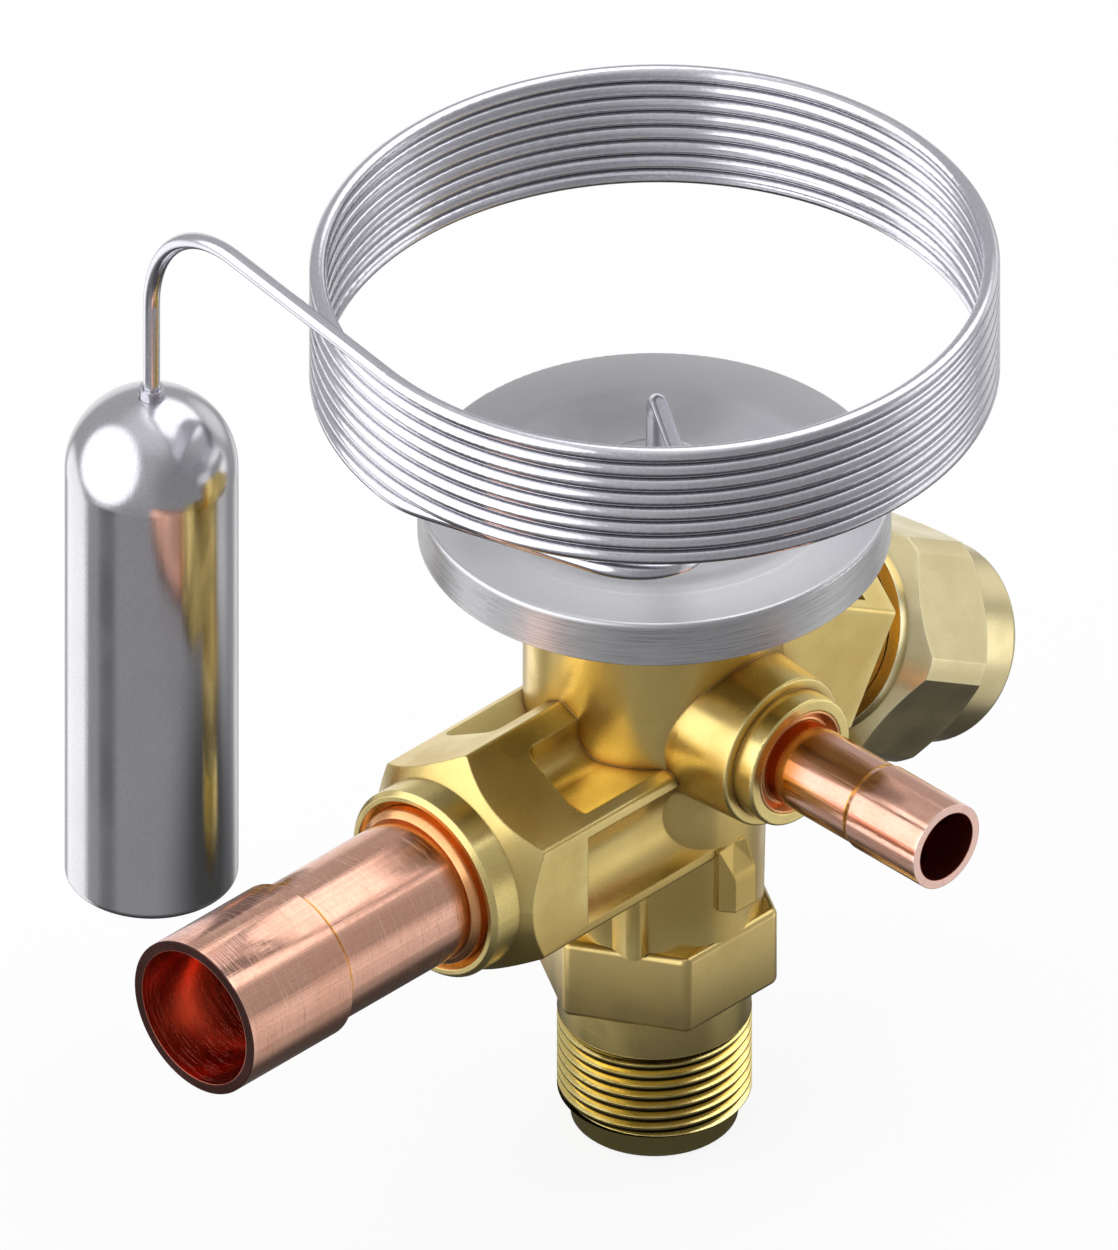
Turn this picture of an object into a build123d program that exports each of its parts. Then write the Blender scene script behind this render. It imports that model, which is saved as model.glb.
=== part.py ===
from build123d import *
import os
from math import atan2, cos, pi, radians, sin, tan

# Expansion valve with a remote sensing bulb, a side outlet, an equalizer stub and a
# slanted superheat adjuster under a seal cap. Sizes are in millimetres and degrees.
# The origin is the centre of the inlet's end face and +Z runs up the valve.
# The outlet leaves along -X, the equalizer along -Y and the adjuster slants down to +X.

# Gaps between neighbours
SEATED_GAP = 0.03
RUNNING_GAP = 0.05
THREAD_GAP = 0.08
CUT_OVERRUN = 1.0

# Inlet end, from its face upwards
TIP_RADIUS = 6.9
TIP_LENGTH = 2.74
INLET_THREAD_RADIUS = 8.0
INLET_THREAD_LENGTH = 7.8
RELIEF_RADIUS = 7.97
RELIEF_LENGTH = 3.9
INLET_HEX_FLATS = 18.2
INLET_HEX_LENGTH = 7.5
HEX_CORNER_ROUND = 0.9
TURNED_CHAMFER = 0.4
TIP_CHAMFER = 0.12

# Column and head of the forging
COLUMN_RADIUS = 9.3
HEAD_RADIUS = 10.8
OUTLET_RISE = 13.9
EQUALIZER_RISE = 7.39
ADJUSTER_RISE = 14.15
HEAD_RISE = 22.4
FLARE_START_RISE = 2.5
FLARE_END_RISE = 5.2
FLARE_ROUND = 1.5

# Hexagon arms of the forging
ARM_FLATS = 18.27
ARM_CORNER_ROUND = 0.5
OUTLET_HEX_END = 24.0
OUTLET_HEX_CHAMFER = 2.2
OUTLET_COLLAR_RADIUS = 8.4
OUTLET_COLLAR_LENGTH = 2.9
POCKET_END = 16.8
POCKET_WIDTH = 8.6
POCKET_DEPTH = 2.1
SHELF_RISE = 5.85
SHELF_INNER_ROUND = 2.4
SHELF_END_ROUND = 1.0
RIB_THICKNESS = 3.6
ADJUSTER_SLANT = 30.6
ADJUSTER_ARM_START = 3.0
ADJUSTER_ARM_END = 19.2
ADJUSTER_POCKET_END = 15.4
ADJUSTER_EDGE_CHAMFER = 0.35

# Web below the outlet arm and lug below the equalizer boss
WEB_REACH = 8.6
WEB_WIDTH = 12.4
WEB_ROUND = 0.9
LUG_LEFT = -1.8
LUG_SIDE_SLOPE = 36.0
LUG_RIGHT = 1.4
LUG_REACH = 10.4
LUG_DROP = 10.5
LUG_SHOULDER_DROP = 7.2
LUG_TOP_DROP = 4.6
LUG_ROUND = 2.2

# Equalizer boss
BOSS_ROOT_RADIUS = 7.0
BOSS_RADIUS = 6.65
BOSS_LENGTH = 14.85
BOSS_ROUND = 0.25
BOSS_RING_RADIUS = 5.74
BOSS_RING_LENGTH = 2.1

# Copper stubs and their braze rings
OUTLET_TUBE_RADIUS = 6.31
OUTLET_TUBE_WALL = 0.9
OUTLET_SOCKET_RADIUS = 6.01
OUTLET_SOCKET_WALL = 0.875
OUTLET_SOCKET_DEPTH = 12.0
OUTLET_TUBE_START = 18.0
OUTLET_TUBE_END = 53.36
EQUALIZER_TUBE_RADIUS = 3.65
EQUALIZER_TUBE_WALL = 0.8
EQUALIZER_SOCKET_RADIUS = 3.05
EQUALIZER_SOCKET_WALL = 0.75
EQUALIZER_SOCKET_DEPTH = 8.34
EQUALIZER_TUBE_START = 12.0
EQUALIZER_TUBE_END = 33.84
TUBE_STEP_LENGTH = 0.5
OUTLET_MOUTH_RADIUS = 7.6
OUTLET_MOUTH_DEPTH = 1.4
EQUALIZER_MOUTH_RADIUS = 4.7
EQUALIZER_MOUTH_DEPTH = 1.05
BEAD_THICKNESS = 0.66
BEAD_CROWN = 0.75
BEAD_SHOULDER = 0.25
BEAD_ROUND = 0.25
LINING_THICKNESS = 0.2

# Passages inside the forging
INLET_BORE_RADIUS = 5.6
CHAMBER_RADIUS = 4.8
OUTLET_PASSAGE_RADIUS = 5.0
PARTITION_RISE = 3.6
PARTITION_THICKNESS = 2.2
UPPER_BORE_RADIUS = 7.4
EQUALIZER_PORT_RADIUS = 1.5
ADJUSTER_BORE_RADIUS = 4.0
HOUSING_BORE_RADIUS = 6.2

# Orifice, cone, and the spring that holds the cone against the pin
ORIFICE_RADIUS = 2.4
ORIFICE_TOP_DROP = 6.5
ORIFICE_LENGTH = 4.0
ORIFICE_CHAMFER = 0.5
CONE_GAP = 0.1
CONE_TIP_RADIUS = 1.1
CONE_RADIUS = 3.2
CONE_SKIRT_LENGTH = 1.5
STEM_RADIUS = 1.6
STEM_LENGTH = 4.8
CONE_SPRING_MEAN_RADIUS = 2.35
CONE_SPRING_WIRE_RADIUS = 0.28
CONE_SPRING_TURNS = 4.5
CONE_SPRING_LENGTH = 4.2
RETAINER_THICKNESS = 1.4
RETAINER_PORT_RADIUS = 1.2
RETAINER_PORT_CIRCLE = 3.95
RETAINER_PORTS = 6

# Inlet strainer
STRAINER_SETBACK = 0.8
STRAINER_RING_LENGTH = 1.5
STRAINER_LENGTH = 10.2
STRAINER_CAP_THICKNESS = 0.7
STRAINER_CAP_RADIUS = 4.6
STRAINER_WALL_RADIUS = 4.15
STRAINER_WALL = 0.25
STRAINER_LEG_WIDTH = 1.0
STRAINER_LEG_DEPTH = 0.9
STRAINER_LEGS = 4
STRAINER_HOLE = 1.0
STRAINER_HOLES_AROUND = 16
STRAINER_ROWS = 6

# Push pin and its guide
PIN_RADIUS = 1.0
PIN_SOCKET_DEPTH = 0.4
BUSH_RADIUS = 2.5
BUSH_FLANGE_RADIUS = 3.6
BUSH_FLANGE_THICKNESS = 0.6
PIN_SEAL_RADIUS = 1.85
PIN_SEAL_THICKNESS = 0.9

# Bevel pair on one apex, where the adjuster axis meets the valve axis
PINION_TEETH = 10
CROWN_TEETH = 20
GEAR_OUTER_CONE = 9.0
GEAR_INNER_CONE = 6.5
TOOTH_ADDENDUM = 0.4
TOOTH_DEDENDUM = 0.62
TOOTH_HALF_WIDTH = 0.38
TOOTH_FLANK_ANGLE = 20.0
TOOTH_ROOT_SINK = 0.1

# Adjusting nut, spring seat, superheat spring and pressure plate
NUT_HUB_RADIUS = 3.2
NUT_HUB_RISE = 18.0
NUT_THRUST_GAP = 0.05
NUT_BORE_GAP = 0.2
SPRING_SEAT_RISE = 13.4
SPRING_SEAT_RADIUS = 5.4
SPRING_SEAT_THICKNESS = 1.2
SPRING_SLEEVE_RADIUS = 3.95
SPRING_SLEEVE_LENGTH = 2.6
SEAT_TAB_WIDTH = 2.4
SEAT_TAB_RADIUS = 8.1
TAB_GAP = 0.2
TAB_SLOT_RISE = 12.0
SPRING_MEAN_RADIUS = 4.6
SPRING_WIRE_RADIUS = 0.55
SPRING_TURNS = 5.0
PLATE_RADIUS = 9.0
PLATE_THICKNESS = 0.8
PLATE_BOSS_RADIUS = 3.9
PLATE_BOSS_LENGTH = 1.2

# Power element on the head
SPIGOT_RADIUS = 7.35
SPIGOT_BORE_RADIUS = 6.2
SPIGOT_LENGTH = 2.9
GASKET_OUTER_RADIUS = 9.7
GASKET_WIDTH = 1.2
GASKET_THICKNESS = 0.4
ELEMENT_RADIUS = 19.44
ELEMENT_BAND_HEIGHT = 4.0
ELEMENT_SKIRT_WALL = 1.2
BASE_FLOOR = 0.55
BASE_RIM_HEIGHT = 2.9
CLAMP_INNER_RADIUS = 16.4
PLATE_LIFT = 1.6
DIAPHRAGM_THICKNESS = 0.15
COVER_EDGE_ROUND = 0.35
COVER_SHOULDER_RADIUS = 15.2
COVER_SHOULDER_HEIGHT = 4.9
COVER_STEP_RADIUS = 14.0
COVER_CAVITY_HEIGHT = 3.35
COVER_BOSS_RADIUS = 6.0
COVER_BOSS_HEIGHT = 5.7
COVER_BOSS_STEP_RADIUS = 4.9
COVER_BOSS_STEP = 0.18
CONVOLUTION = 0.4
DIAPHRAGM_RUNS = 4

# Capillary tube, bulb and the sleeves at the tube's two ends
CAPILLARY_RADIUS = 0.7
COIL_RADIUS = 27.63
COIL_PITCH = 1.4525
COIL_TURNS = 8
COIL_BOTTOM_RISE = 37.96
COIL_CENTRE_X = 0.015
COIL_CENTRE_Y = -0.015
COIL_START_ANGLE = 172.1
BULB_LEAD_LENGTH = 31.83
BULB_LEAD_BEND = 11.0
ELEMENT_LEAD_PLACES = [(1.003, 176.7, 37.94), (1.035, 222.1, 37.65), (0.878, 236.6, 36.6)]
ELEMENT_LEAD_BEND_SHARES = [0.3257, 0.2208, 0.2208, 0.0869]
ELEMENT_LEAD_RISE = 36.25
FERRULE_RADIUS = 0.91
FERRULE_LENGTH = 1.95
FERRULE_STAND = 0.85
BULB_RADIUS = 7.13
BULB_LENGTH = 47.8
BULB_BOTTOM_RISE = -18.26
BULB_EDGE_ROUND = 0.7
BULB_FERRULE_RADIUS = 1.02
BULB_FERRULE_LENGTH = 1.9
BULB_FERRULE_STAND = 0.9
CAPILLARY_OVERRUN = 0.4

# Spindle housing, spindle and seal cap, measured along the adjuster axis
HOUSING_START = 12.0
HOUSING_COLLAR_RADIUS = 7.5
HOUSING_COLLAR_END = 21.7
HOUSING_THREAD_RADIUS = 7.0
HOUSING_END = 28.0
SPINDLE_RADIUS = 2.0
SPINDLE_COLLAR_RADIUS = 3.2
SPINDLE_COLLAR_START = 9.6
SPINDLE_COLLAR_GAP = 0.3
SPINDLE_HUB_RADIUS = 2.2
SPINDLE_SHAFT_END = 29.4
SPINDLE_DRIVE_FLATS = 2.8
SPINDLE_END = 32.0
O_RING_SECTION_RADIUS = 0.7
O_RING_PLACE = 15.0
CAP_GASKET_THICKNESS = 1.0
CAP_GASKET_INNER_RADIUS = 5.2
CAP_GASKET_OUTER_RADIUS = 6.9
CAP_START = 21.8
CAP_COLLAR_RADIUS = 8.7
CAP_HEX_FLATS = 19.0
CAP_HEX_TURN = 114.0
CAP_HEX_START = 22.9
CAP_HEX_END = 33.2
CAP_CORNER_FLATS = 20.96
CAP_CHAMFER_ANGLE = 38.0
CAP_NOSE_RADIUS = 8.4
CAP_END = 38.2
CAP_EDGE_ROUND = 0.8
CAP_POCKET_RADIUS = 5.0
CAP_POCKET_END = 34.5

# Heights and frames that follow from the sizes above
THREAD_TOP = TIP_LENGTH + INLET_THREAD_LENGTH
HEX_BOTTOM = THREAD_TOP + RELIEF_LENGTH
HEX_TOP = HEX_BOTTOM + INLET_HEX_LENGTH
OUTLET_Z = HEX_TOP + OUTLET_RISE
HEAD_TOP = OUTLET_Z + HEAD_RISE
PARTITION_BOTTOM = OUTLET_Z + PARTITION_RISE
PARTITION_TOP = PARTITION_BOTTOM + PARTITION_THICKNESS
ORIFICE_TOP = OUTLET_Z - ORIFICE_TOP_DROP
ORIFICE_BOTTOM = ORIFICE_TOP - ORIFICE_LENGTH
SPRING_SEAT_Z = OUTLET_Z + SPRING_SEAT_RISE
SPRING_BOTTOM = SPRING_SEAT_Z + SPRING_SEAT_THICKNESS
PLATE_BOTTOM = HEAD_TOP + PLATE_LIFT
PLATE_TOP = PLATE_BOTTOM + PLATE_THICKNESS
DIAPHRAGM_RIM = HEAD_TOP + BASE_RIM_HEIGHT
APEX_Z = OUTLET_Z + ADJUSTER_RISE
COLLAR_END = OUTLET_HEX_END + OUTLET_COLLAR_LENGTH
BOSS_END = BOSS_LENGTH + BOSS_RING_LENGTH
BORE_FIT = INLET_BORE_RADIUS - SEATED_GAP
GASKET_INNER_RADIUS = GASKET_OUTER_RADIUS - GASKET_WIDTH
SKIRT_BORE_RADIUS = ELEMENT_RADIUS - ELEMENT_SKIRT_WALL
CAP_SEAT = HOUSING_END + CAP_GASKET_THICKNESS
SLANT = radians(ADJUSTER_SLANT)

UP = Plane.XY
OUTLET = Plane(origin=(0, 0, OUTLET_Z), x_dir=(0, -1, 0), z_dir=(-1, 0, 0))
EQUALIZER = Plane(origin=(0, 0, OUTLET_Z + EQUALIZER_RISE), x_dir=(1, 0, 0), z_dir=(0, -1, 0))
ADJUSTER = Plane(origin=(0, 0, APEX_Z), x_dir=(0, 1, 0), z_dir=(cos(SLANT), 0, -sin(SLANT)))
CROWN = Plane(origin=(0, 0, APEX_Z), x_dir=(1, 0, 0), z_dir=(0, 0, -1))


def rod(frame, radius, low, high):
    """Round bar along a frame's normal between two heights."""
    return frame.location * Pos(0, 0, (low + high) / 2) * Cylinder(radius, high - low)


def turned(frame, outline, rounds=()):
    """Solid of revolution about a frame's normal from (radius, height) points."""
    face = make_face(Polyline(*outline, close=True))
    for corner, radius in rounds:
        face = fillet(face.vertices().sort_by_distance(corner)[0], radius)
    return frame.location * revolve(Rot(90, 0, 0) * face, Axis.Z)


def hex_bar(frame, flats, low, high, turn, corner_round):
    """Hexagon bar along a frame's normal, with a corner at the given turn from local x."""
    section = RegularPolygon(flats / 2, 6, major_radius=False, rotation=turn)
    section = fillet(section.vertices(), corner_round)
    return frame.location * Pos(0, 0, low) * extrude(section, high - low)


def channel(frame, turn, flat, width, end):
    """Cutter for a hollow forged pocket along one flat of an arm."""
    radius = (width ** 2 / 4 + POCKET_DEPTH ** 2) / (2 * POCKET_DEPTH)
    bar = Pos(flat + radius - POCKET_DEPTH, 0, end / 2) * Cylinder(radius, end)
    return frame.location * Rot(0, 0, turn) * bar


def shelf(width):
    """Cutter for one of the forged shelves that lie beside the outlet arm's upper rib."""
    block = Pos(0, SHELF_RISE + width / 2, POCKET_END / 2) * Box(width, width, POCKET_END)
    lower = block.edges().filter_by(Axis.Z).sort_by(Axis.Y)[:2]
    block = fillet(lower, SHELF_INNER_ROUND)
    end_face = block.faces().sort_by(Axis.Z)[-1]
    return fillet(end_face.edges(), SHELF_END_ROUND)


def coil_spring(mean_radius, wire_radius, turns, low, high):
    """Helical spring whose wire lies between two heights on the valve axis."""
    rise = high - low - 2 * wire_radius
    path = Pos(0, 0, low + wire_radius) * Helix(rise / turns, rise, mean_radius)
    start = Plane(origin=path @ 0, z_dir=path % 0)
    return sweep(start * Circle(wire_radius), path=path)


def column():
    """Inlet end, column and flared head, turned on the valve axis."""
    tip, thread, relief, cut = TIP_RADIUS, INLET_THREAD_RADIUS, RELIEF_RADIUS, TURNED_CHAMFER
    flare_start = OUTLET_Z + FLARE_START_RISE
    flare_end = OUTLET_Z + FLARE_END_RISE
    outline = [(0, 0), (tip - TIP_CHAMFER, 0), (tip, TIP_CHAMFER), (tip, TIP_LENGTH - cut),
               (thread - cut, TIP_LENGTH - cut), (thread, TIP_LENGTH), (thread, THREAD_TOP),
               (relief, THREAD_TOP), (relief, HEX_BOTTOM),
               (COLUMN_RADIUS, HEX_BOTTOM), (COLUMN_RADIUS, flare_start), (HEAD_RADIUS, flare_end),
               (HEAD_RADIUS, HEAD_TOP), (0, HEAD_TOP)]
    rounds = [((COLUMN_RADIUS, flare_start), FLARE_ROUND), ((HEAD_RADIUS, flare_end), FLARE_ROUND)]
    return turned(UP, outline, rounds)


def inlet_hexagon():
    """Spanner hexagon above the inlet thread."""
    return hex_bar(UP, INLET_HEX_FLATS, HEX_BOTTOM, HEX_TOP, 0, HEX_CORNER_ROUND)


def outlet_arm():
    """Hexagon arm with forged shelves and pockets, a coned end and a round collar."""
    flat = ARM_FLATS / 2
    arm = hex_bar(OUTLET, ARM_FLATS, 0, OUTLET_HEX_END, 90, ARM_CORNER_ROUND)
    corner = flat / cos(radians(30))
    arm &= turned(OUTLET, [(0, 0), (corner, 0), (corner, OUTLET_HEX_END - OUTLET_HEX_CHAMFER),
                           (OUTLET_COLLAR_RADIUS, OUTLET_HEX_END), (0, OUTLET_HEX_END)])
    for turn in (0, 180):
        arm -= channel(OUTLET, turn, flat, POCKET_WIDTH, POCKET_END)
    for side in (-1, 1):
        arm -= OUTLET.location * Pos(side * (RIB_THICKNESS / 2 + flat / 2), 0, 0) * shelf(flat)
    edge = COLLAR_END - TURNED_CHAMFER
    return arm + turned(OUTLET, [(0, 0), (OUTLET_COLLAR_RADIUS, OUTLET_HEX_END), (OUTLET_COLLAR_RADIUS, edge),
                                 (OUTLET_COLLAR_RADIUS - TURNED_CHAMFER, COLLAR_END), (0, COLLAR_END)])


def adjuster_arm():
    """Slanted hexagon arm with pockets on its two upper flats and an eased end."""
    flat = ARM_FLATS / 2
    arm = hex_bar(ADJUSTER, ARM_FLATS, ADJUSTER_ARM_START, ADJUSTER_ARM_END, 90, ARM_CORNER_ROUND)
    end_face = arm.faces().sort_by(Axis((0, 0, 0), ADJUSTER.z_dir))[-1]
    arm = chamfer(end_face.edges(), ADJUSTER_EDGE_CHAMFER)
    for turn in (60, 120):
        arm -= channel(ADJUSTER, turn, flat, POCKET_WIDTH, ADJUSTER_POCKET_END)
    return arm


def equalizer_boss():
    """Round boss with a narrower ring at its end."""
    outline = [(0, 0), (BOSS_ROOT_RADIUS, 0), (BOSS_ROOT_RADIUS, COLUMN_RADIUS), (BOSS_RADIUS, BOSS_LENGTH),
               (BOSS_RING_RADIUS, BOSS_LENGTH), (BOSS_RING_RADIUS, BOSS_END), (0, BOSS_END)]
    rounds = [((BOSS_RADIUS, BOSS_LENGTH), BOSS_ROUND), ((BOSS_RING_RADIUS, BOSS_END), BOSS_ROUND)]
    return turned(EQUALIZER, outline, rounds)


def web():
    """Block that ties the outlet arm down to the inlet hexagon."""
    block = Pos(-WEB_REACH / 2, 0, HEX_TOP + OUTLET_RISE / 2) * Box(WEB_REACH, WEB_WIDTH, OUTLET_RISE)
    return fillet(block.edges().filter_by(Axis.Z), WEB_ROUND)


def lug():
    """Small wedge lug on the column below the equalizer boss."""
    root = COLUMN_RADIUS - CUT_OVERRUN
    side = [(root, -LUG_DROP), (LUG_REACH, -LUG_DROP), (LUG_REACH, -LUG_SHOULDER_DROP),
            (COLUMN_RADIUS, -LUG_TOP_DROP), (root, -LUG_TOP_DROP)]
    section = make_face(Polyline(*side, close=True))
    section = fillet(section.vertices().sort_by_distance((LUG_REACH, -LUG_SHOULDER_DROP))[0], LUG_ROUND)
    wedge = extrude(section, LUG_RIGHT - LUG_LEFT)
    frame = Plane(origin=(LUG_RIGHT, 0, OUTLET_Z), x_dir=(0, -1, 0), z_dir=(-1, 0, 0))
    side_cut = Pos(-LUG_REACH / 2, 0, 0) * Box(LUG_REACH, LUG_REACH, LUG_REACH * 2)
    side_cut = Pos(LUG_LEFT, -COLUMN_RADIUS, OUTLET_Z - LUG_DROP) * Rot(0, 0, LUG_SIDE_SLOPE) * side_cut
    return frame.location * wedge - side_cut


def passages():
    """Every bore, recess and port that is machined into the forging."""
    adjuster_depth = ADJUSTER_ARM_END + CUT_OVERRUN
    head_over = HEAD_TOP + CUT_OVERRUN
    cuts = rod(UP, INLET_BORE_RADIUS, -CUT_OVERRUN, ORIFICE_TOP)
    cuts += rod(UP, CHAMBER_RADIUS, ORIFICE_TOP, PARTITION_BOTTOM)
    cuts += rod(UP, BUSH_RADIUS + SEATED_GAP, PARTITION_BOTTOM, PARTITION_TOP)
    cuts += rod(UP, UPPER_BORE_RADIUS, PARTITION_TOP, head_over)
    cuts += rod(UP, GASKET_OUTER_RADIUS + SEATED_GAP, HEAD_TOP - GASKET_THICKNESS, head_over)
    cuts += rod(OUTLET, OUTLET_PASSAGE_RADIUS, 0, OUTLET_TUBE_START)
    outlet_bore = OUTLET_TUBE_RADIUS + SEATED_GAP
    cuts += turned(OUTLET, [(0, OUTLET_TUBE_START), (outlet_bore, OUTLET_TUBE_START),
                            (outlet_bore, COLLAR_END - OUTLET_MOUTH_DEPTH), (OUTLET_MOUTH_RADIUS, COLLAR_END),
                            (0, COLLAR_END)])
    stub_bore = EQUALIZER_TUBE_RADIUS + SEATED_GAP
    cuts += turned(EQUALIZER, [(0, EQUALIZER_TUBE_START), (stub_bore, EQUALIZER_TUBE_START),
                               (stub_bore, BOSS_END - EQUALIZER_MOUTH_DEPTH),
                               (EQUALIZER_MOUTH_RADIUS, BOSS_END), (0, BOSS_END)])
    cuts += rod(EQUALIZER, EQUALIZER_PORT_RADIUS, 0, EQUALIZER_TUBE_START)
    cuts += rod(ADJUSTER, ADJUSTER_BORE_RADIUS, 0, HOUSING_START)
    cuts += rod(ADJUSTER, HOUSING_BORE_RADIUS, HOUSING_START, adjuster_depth)
    slot_low = OUTLET_Z + TAB_SLOT_RISE
    slot = Box(SEAT_TAB_WIDTH + 2 * TAB_GAP, 2 * (SEAT_TAB_RADIUS + TAB_GAP), head_over - slot_low)
    return cuts + Pos(0, 0, (slot_low + head_over) / 2) * slot


def valve_body():
    """The brass forging with all its bores."""
    forging = column() + inlet_hexagon() + web() + lug()
    forging += outlet_arm()
    forging += adjuster_arm()
    forging += equalizer_boss()
    return forging - passages()


def stub_tube(frame, radius, wall, socket, socket_wall, socket_depth, start, end):
    """Copper stub whose outer end is swaged out to a socket."""
    step = end - socket_depth
    outer = socket + socket_wall
    return turned(frame, [(radius - wall, start), (radius, start), (radius, step), (outer, step + TUBE_STEP_LENGTH),
                          (outer, end), (socket, end), (socket, step), (radius - wall, step - TUBE_STEP_LENGTH)])


def outlet_tube():
    """Copper outlet stub."""
    return stub_tube(OUTLET, OUTLET_TUBE_RADIUS, OUTLET_TUBE_WALL, OUTLET_SOCKET_RADIUS, OUTLET_SOCKET_WALL,
                     OUTLET_SOCKET_DEPTH, OUTLET_TUBE_START, OUTLET_TUBE_END)


def equalizer_tube():
    """Copper equalizer stub."""
    return stub_tube(EQUALIZER, EQUALIZER_TUBE_RADIUS, EQUALIZER_TUBE_WALL, EQUALIZER_SOCKET_RADIUS,
                     EQUALIZER_SOCKET_WALL, EQUALIZER_SOCKET_DEPTH, EQUALIZER_TUBE_START, EQUALIZER_TUBE_END)


def cone_height(radius, bore, mouth_radius, mouth_depth, end):
    """Height of a mouth's cone at a radius."""
    return end - mouth_depth * (mouth_radius - radius) / (mouth_radius - bore)


def outlet_braze_ring():
    """Bead of braze metal that stands round the outlet stub, seated in the collar's coned mouth."""
    bore = OUTLET_TUBE_RADIUS + SEATED_GAP
    outer = OUTLET_TUBE_RADIUS + BEAD_THICKNESS
    foot = cone_height(outer, bore, OUTLET_MOUTH_RADIUS, OUTLET_MOUTH_DEPTH, COLLAR_END) + 2 * SEATED_GAP
    outline = [(bore, COLLAR_END - OUTLET_MOUTH_DEPTH + 2 * SEATED_GAP), (outer, foot),
               (outer, COLLAR_END + BEAD_SHOULDER), (bore, COLLAR_END + BEAD_CROWN)]
    return turned(OUTLET, outline, [((outer, COLLAR_END + BEAD_SHOULDER), BEAD_ROUND)])


def equalizer_braze_ring():
    """Thin hollow lining of braze metal in the boss's coned mouth."""
    bore = EQUALIZER_TUBE_RADIUS + SEATED_GAP
    low = BOSS_END - EQUALIZER_MOUTH_DEPTH + 2 * SEATED_GAP
    mouth = EQUALIZER_MOUTH_RADIUS - 2 * SEATED_GAP
    return turned(EQUALIZER, [(bore, low), (mouth, BOSS_END - SEATED_GAP), (mouth - LINING_THICKNESS, BOSS_END),
                              (bore + LINING_THICKNESS, low + 2 * LINING_THICKNESS),
                              (bore, low + 2.5 * LINING_THICKNESS)])


def element_cover():
    """Upper shell of the power element, seamless with its rolled band."""
    band_top = HEAD_TOP + ELEMENT_BAND_HEIGHT
    shoulder = HEAD_TOP + COVER_SHOULDER_HEIGHT
    cavity = HEAD_TOP + COVER_CAVITY_HEIGHT
    boss = HEAD_TOP + COVER_BOSS_HEIGHT
    clamp = DIAPHRAGM_RIM + DIAPHRAGM_THICKNESS
    hole = FERRULE_RADIUS + SEATED_GAP
    recess = boss - COVER_BOSS_STEP
    outline = [(hole, cavity), (CLAMP_INNER_RADIUS, cavity), (CLAMP_INNER_RADIUS, clamp),
               (SKIRT_BORE_RADIUS, clamp), (SKIRT_BORE_RADIUS, HEAD_TOP), (ELEMENT_RADIUS, HEAD_TOP),
               (ELEMENT_RADIUS, band_top), (COVER_SHOULDER_RADIUS, shoulder), (COVER_STEP_RADIUS, shoulder),
               (COVER_BOSS_RADIUS, shoulder), (COVER_BOSS_RADIUS, boss), (COVER_BOSS_STEP_RADIUS, boss),
               (COVER_BOSS_STEP_RADIUS, recess), (hole, recess)]
    return turned(UP, outline, [((ELEMENT_RADIUS, band_top), COVER_EDGE_ROUND)])


def element_base():
    """Lower plate of the power element with the spigot that enters the head."""
    rim = SKIRT_BORE_RADIUS - SEATED_GAP
    floor = HEAD_TOP + BASE_FLOOR
    return turned(UP, [(SPIGOT_BORE_RADIUS, HEAD_TOP - SPIGOT_LENGTH), (SPIGOT_RADIUS, HEAD_TOP - SPIGOT_LENGTH),
                       (SPIGOT_RADIUS, HEAD_TOP), (rim, HEAD_TOP), (rim, DIAPHRAGM_RIM),
                       (CLAMP_INNER_RADIUS, DIAPHRAGM_RIM), (PLATE_RADIUS + PLATE_LIFT, floor),
                       (SPIGOT_BORE_RADIUS, floor)])


def diaphragm():
    """Thin diaphragm: clamped rim, two convolutions and a flat centre on the plate."""
    rim = SKIRT_BORE_RADIUS - SEATED_GAP
    centre = PLATE_TOP + SEATED_GAP
    run = (CLAMP_INNER_RADIUS - PLATE_RADIUS) / DIAPHRAGM_RUNS
    under = [(0, centre), (PLATE_RADIUS, centre), (PLATE_RADIUS + run, DIAPHRAGM_RIM),
             (PLATE_RADIUS + 2 * run, DIAPHRAGM_RIM - CONVOLUTION), (PLATE_RADIUS + 3 * run, DIAPHRAGM_RIM),
             (rim, DIAPHRAGM_RIM)]
    over = [(r, z + DIAPHRAGM_THICKNESS) for r, z in reversed(under)]
    return turned(UP, under + over)


def element_gasket():
    """Flat gasket in the recess on top of the head."""
    low = HEAD_TOP - GASKET_THICKNESS
    return turned(UP, [(GASKET_INNER_RADIUS, low), (GASKET_OUTER_RADIUS, low), (GASKET_OUTER_RADIUS, HEAD_TOP),
                       (GASKET_INNER_RADIUS, HEAD_TOP)])


def coil_point(angle, rise, share=1):
    """Point round the coil's centre, at a share of the coil's radius."""
    turn, reach = radians(angle), share * COIL_RADIUS
    return Vector(COIL_CENTRE_X + reach * cos(turn), COIL_CENTRE_Y + reach * sin(turn), OUTLET_Z + rise)


def bulb_place():
    """Corner of the bulb lead, straight above the bulb."""
    top = coil_point(COIL_START_ANGLE, COIL_BOTTOM_RISE + COIL_TURNS * COIL_PITCH)
    turn = radians(COIL_START_ANGLE)
    climb = BULB_LEAD_LENGTH * COIL_PITCH / (2 * pi * COIL_RADIUS)
    return top + Vector(BULB_LEAD_LENGTH * sin(turn), -BULB_LEAD_LENGTH * cos(turn), climb)


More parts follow.
